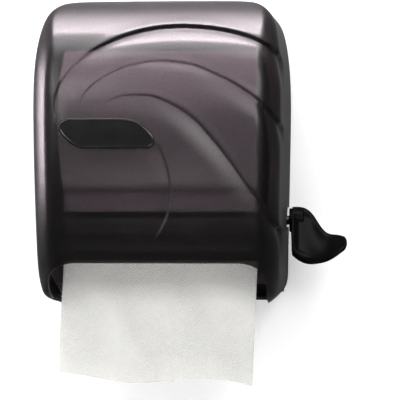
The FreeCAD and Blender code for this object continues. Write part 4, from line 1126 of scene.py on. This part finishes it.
@dataclass
class Towel:
    """The towel's tail: soft paper that hangs from the rollers and ends in a torn edge."""
    half: float = 101.6
    top: float = -44.0
    end: float = -240.0
    hang: float = -108.0
    skew: float = 7.0
    depth: float = 135.45
    thick: float = 0.45
    columns: int = 170
    rows: int = 150
    tear: Sequence[Spot] = ((-1.0, 8.0), (-0.72, 4.5), (-0.26, -3.0), (0.3, 0.5), (0.86, -2.0),
                            (1.0, -6.0))
    frill: float = 0.7

    def build(self) -> bpy.types.Object:
        """The sheet, as a thin closed mesh."""
        random = np.random.default_rng(7)
        share = np.linspace(-1.0, 1.0, self.columns)
        edge = spline([(s * 100, rise) for s, rise in self.tear], 600)
        end = self.end + np.interp(share, edge[:, 0] / 100, edge[:, 1])
        end = end + random.normal(0.0, self.frill, self.columns) * 0.5
        down = np.linspace(0.0, 1.0, self.rows) ** 0.9
        across, along = np.meshgrid(share, down)
        level = self.top + (end[None, :] - self.top) * along
        drift = np.clip((self.hang - level) / (self.hang - self.end), 0.0, 1.1)
        x = across * self.half - self.skew * drift * (1.0 - 0.15 * (across > 0))
        free = np.clip((self.hang - level) / 60.0, 0.0, 1.0)
        wave = (1.1 * np.sin(across * 2.6 + level * 0.012) + 0.7 * np.sin(across * 5.1 - 1.0)
                + 0.5 * np.sin(level * 0.05 + across * 3.0))
        depth = self.depth + wave * free * 0.9
        front = np.stack([x.ravel(), depth.ravel() + self.thick / 2, level.ravel()], axis=1)
        back = front.copy()
        back[:, 1] -= self.thick
        count = len(front)
        faces = grid_faces(self.rows, self.columns)
        faces += [[corner + count for corner in reversed(face)]
                  for face in grid_faces(self.rows, self.columns)]
        index = np.arange(count).reshape(self.rows, self.columns)
        loop = np.concatenate([index[0], index[1:, -1], index[-1, -2::-1], index[-2:0:-1, 0]])
        for a, b in zip(loop, np.roll(loop, -1)):
            faces.append([int(a), int(a) + count, int(b) + count, int(b)])
        return outward(make_object("hanging_towel", np.vstack([front, back]), faces))


# ---- studio --------------------------------------------------------------------------------

@dataclass(frozen=True)
class Lamp:
    """A soft square lamp, in metres and watts."""
    name: str
    place: Place
    aim: Place
    size: float
    power: float

    def hang(self) -> None:
        """Puts the lamp in its place, pointing at its aim."""
        data = bpy.data.lights.new(self.name, "AREA")
        data.size = self.size
        data.energy = self.power
        lamp = bpy.data.objects.new(self.name, data)
        lamp.location = self.place
        way = Vector(self.aim) - Vector(self.place)
        lamp.rotation_euler = way.to_track_quat("-Z", "Y").to_euler()
        bpy.context.scene.collection.objects.link(lamp)


@dataclass
class Studio:
    """Wall, floor, lights and camera."""
    camera_place: Place = (0.153, -2.0, -0.052)
    camera_yaw_degrees: float = 3.44
    view_degrees: float = 12.75
    floor_level: float = -0.75
    lift: float = 0.12
    sky: float = 0.42
    sky_mirrored: float = 0.05
    wall_gap: float = 0.0006
    wall_top: float = 2.5
    floor_front: float = -5.0
    half_wide: float = 4.0
    cove: float = 0.35
    pale: float = 0.95
    mirrored: Sequence[tuple[str, float]] = (("pale_wall", 0.07), ("pale_floor", 0.04))
    lamps: Sequence[Lamp] = (
        Lamp("key", (-0.75, -1.9, 0.75), (0.0, -0.1, 0.0), 0.6, 9.0),
        Lamp("top", (0.0, -0.42, 1.0), (0.0, -0.13, 0.1), 0.9, 17.0),
        Lamp("right", (0.65, -1.9, 0.75), (0.0, -0.1, 0.0), 0.6, 11.0),
        Lamp("left", (-1.0, -0.25, 0.15), (-0.1, -0.1, 0.0), 0.5, 6.0))

    def backdrop(self) -> bpy.types.Object:
        """A pale wall that curves into a pale floor."""
        spots = [(self.wall_gap, self.wall_top),
                 (self.wall_gap, self.floor_level + self.cove)]
        for turn in np.linspace(0.0, math.pi / 2, 16)[1:]:
            spots.append((self.wall_gap - self.cove + self.cove * math.cos(turn),
                          self.floor_level + self.cove - self.cove * math.sin(turn)))
        spots.append((self.floor_front, self.floor_level))
        corners = np.array([(x / MM, -y / MM, z / MM) for y, z in spots
                            for x in (-self.half_wide, self.half_wide)])
        faces = [[2 * row, 2 * row + 2, 2 * row + 3, 2 * row + 1]
                 for row in range(len(spots) - 1)]
        sheet = make_object("backdrop", corners, faces)
        for name, mirrored in self.mirrored:
            sheet.data.materials.append(self.paint(name, mirrored))
        for face in sheet.data.polygons:
            face.material_index = int(face.center.z < self.floor_level + self.cove)
        return sheet

    def paint(self, name: str, mirrored: float) -> bpy.types.Material:
        """Pale matt paint, clear from behind.

        Args:
            name: The material's name.
            mirrored: How pale the paint looks in a satin surface.

        Returns:
            The paint.
        """
        material = bpy.data.materials.new(name)
        material.use_nodes = True
        tree = material.node_tree
        tree.nodes.clear()
        output = tree.nodes.new("ShaderNodeOutputMaterial")
        path = tree.nodes.new("ShaderNodeLightPath")
        pale = tree.nodes.new("ShaderNodeBsdfDiffuse")
        pale.inputs["Color"].default_value = (self.pale, self.pale, self.pale, 1.0)
        dim = tree.nodes.new("ShaderNodeBsdfDiffuse")
        dim.inputs["Color"].default_value = (mirrored, mirrored, mirrored, 1.0)
        lift = tree.nodes.new("ShaderNodeEmission")
        lift.inputs["Strength"].default_value = self.lift
        clear = tree.nodes.new("ShaderNodeBsdfTransparent")
        side = tree.nodes.new("ShaderNodeNewGeometry")
        choice = tree.nodes.new("ShaderNodeMixShader")
        tree.links.new(path.outputs["Is Glossy Ray"], choice.inputs[0])
        tree.links.new(pale.outputs[0], choice.inputs[1])
        tree.links.new(dim.outputs[0], choice.inputs[2])
        lifted = tree.nodes.new("ShaderNodeAddShader")
        tree.links.new(choice.outputs[0], lifted.inputs[0])
        tree.links.new(lift.outputs[0], lifted.inputs[1])
        seen = tree.nodes.new("ShaderNodeMixShader")
        tree.links.new(path.outputs["Is Camera Ray"], seen.inputs[0])
        tree.links.new(choice.outputs[0], seen.inputs[1])
        tree.links.new(lifted.outputs[0], seen.inputs[2])
        both = tree.nodes.new("ShaderNodeMixShader")
        tree.links.new(side.outputs["Backfacing"], both.inputs[0])
        tree.links.new(seen.outputs[0], both.inputs[1])
        tree.links.new(clear.outputs[0], both.inputs[2])
        tree.links.new(both.outputs[0], output.inputs[0])
        return material

    def world(self) -> None:
        """Even pale light from all round, seen as white."""
        world = bpy.data.worlds.new("pale_world")
        world.use_nodes = True
        tree = world.node_tree
        back = tree.nodes["Background"]
        path = tree.nodes.new("ShaderNodeLightPath")
        mirrored = tree.nodes.new("ShaderNodeMapRange")
        mirrored.inputs["To Min"].default_value = self.sky
        mirrored.inputs["To Max"].default_value = self.sky_mirrored
        tree.links.new(path.outputs["Is Glossy Ray"], mirrored.inputs["Value"])
        seen = tree.nodes.new("ShaderNodeMath")
        seen.operation = "MAXIMUM"
        tree.links.new(path.outputs["Is Camera Ray"], seen.inputs[0])
        tree.links.new(mirrored.outputs[0], seen.inputs[1])
        tree.links.new(seen.outputs[0], back.inputs["Strength"])
        back.inputs["Color"].default_value = (1.0, 1.0, 1.0, 1.0)
        bpy.context.scene.world = world

    def camera(self) -> None:
        """The camera."""
        data = bpy.data.cameras.new("camera")
        data.angle = math.radians(self.view_degrees)
        data.clip_start = 0.05
        camera = bpy.data.objects.new("camera", data)
        camera.location = self.camera_place
        camera.rotation_euler = (math.pi / 2, 0.0, math.radians(self.camera_yaw_degrees))
        bpy.context.scene.collection.objects.link(camera)
        bpy.context.scene.camera = camera

    def build(self) -> None:
        """Sets up everything round the dispenser."""
        self.backdrop()
        self.world()
        for lamp in self.lamps:
            lamp.hang()
        self.camera()
        bpy.context.scene.view_settings.view_transform = "Standard"


# ---- dressing ------------------------------------------------------------------------------

FINISHES = {
    "cover_smoke": Smoked("smoked_plastic", (0.80, 0.735, 0.775), (0.007, 0.006, 0.0065)),
    "plate_black": Gloss("plate_gloss", (0.008, 0.008, 0.008)),
    "chassis_black": Moulded("chassis_plastic", (0.012, 0.012, 0.013), 0.55),
    "frame_grey": Moulded("frame_plastic", (0.06, 0.052, 0.05), 0.5),
    "lever_black": Moulded("lever_plastic", (0.003, 0.003, 0.003), 0.40, 0.10, 0.06),
    "acetal": Moulded("acetal_plastic", (0.10, 0.10, 0.10), 0.4, 0.1),
    "roller_grey": Moulded("roller_plastic", (0.03, 0.03, 0.032), 0.5),
    "grip_rubber": Rubber("grip_rubber_black", (0.02, 0.02, 0.02)),
    "steel": Metal("plated_steel", (0.06, 0.06, 0.062)),
    "lock_metal": Metal("lock_plating", (0.72, 0.72, 0.73), 0.2),
    "blade_steel": Metal("stainless_strip", (0.20, 0.20, 0.205), 0.28),
    "towel_paper": Paper("embossed_paper", (0.81, 0.80, 0.775)),
    "core_board": Board("core_board_brown", (0.46, 0.35, 0.24)),
}


class Dresser:
    """Gives each piece its finish and ties it to the frame."""

    def __init__(self) -> None:
        """Makes each finish once."""
        self.materials = {slot: finish.material() for slot, finish in FINISHES.items()}

    def dress(self, thing: bpy.types.Object, slot: str) -> None:
        """Puts a slot's finish on a piece."""
        thing.data.materials.clear()
        thing.data.materials.append(self.materials[slot])

    def replace(self, thing: bpy.types.Object, slot: str, body: str, *nodes: str) -> None:
        """Dresses a new piece that stands for nodes of a body.

        Args:
            thing: The new piece.
            slot: Its finish.
            body: The body that it rides on.
            nodes: The nodes that it stands for.
        """
        self.dress(thing, slot)
        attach(thing, body)
        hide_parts(*nodes)
        log.info("%s stands for %s on %s", thing.name, ", ".join(nodes), body)

    def carried_over(self) -> None:
        """Gives every node of the frame the finish of its slot."""
        for row in frame["record"]["subparts"]:
            thing = frame["nodes"][row["node"]]
            material = self.materials[row["material_slot"]]
            for slot in thing.material_slots:
                slot.material = material
            log.info("%s keeps its shape, in %s", row["node"], material.name)


def main() -> None:
    logging.basicConfig(level=logging.INFO, format="%(name)s: %(message)s")
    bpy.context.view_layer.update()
    dresser = Dresser()
    dresser.carried_over()
    cover = FrontCover()
    dresser.replace(cover.build(), "cover_smoke", "cover", "front_cover")
    dresser.replace(Nameplate(cover.form).build(), "plate_black", "cover", "nameplate")
    dresser.replace(Lever().build(), "lever_black", "lever", "lever_handle")
    towel = Towel()
    tail = towel.build()
    dresser.replace(tail, "towel_paper", "towel", "towel_tail")
    Studio().build()


if __name__ == "__main__":
    main()
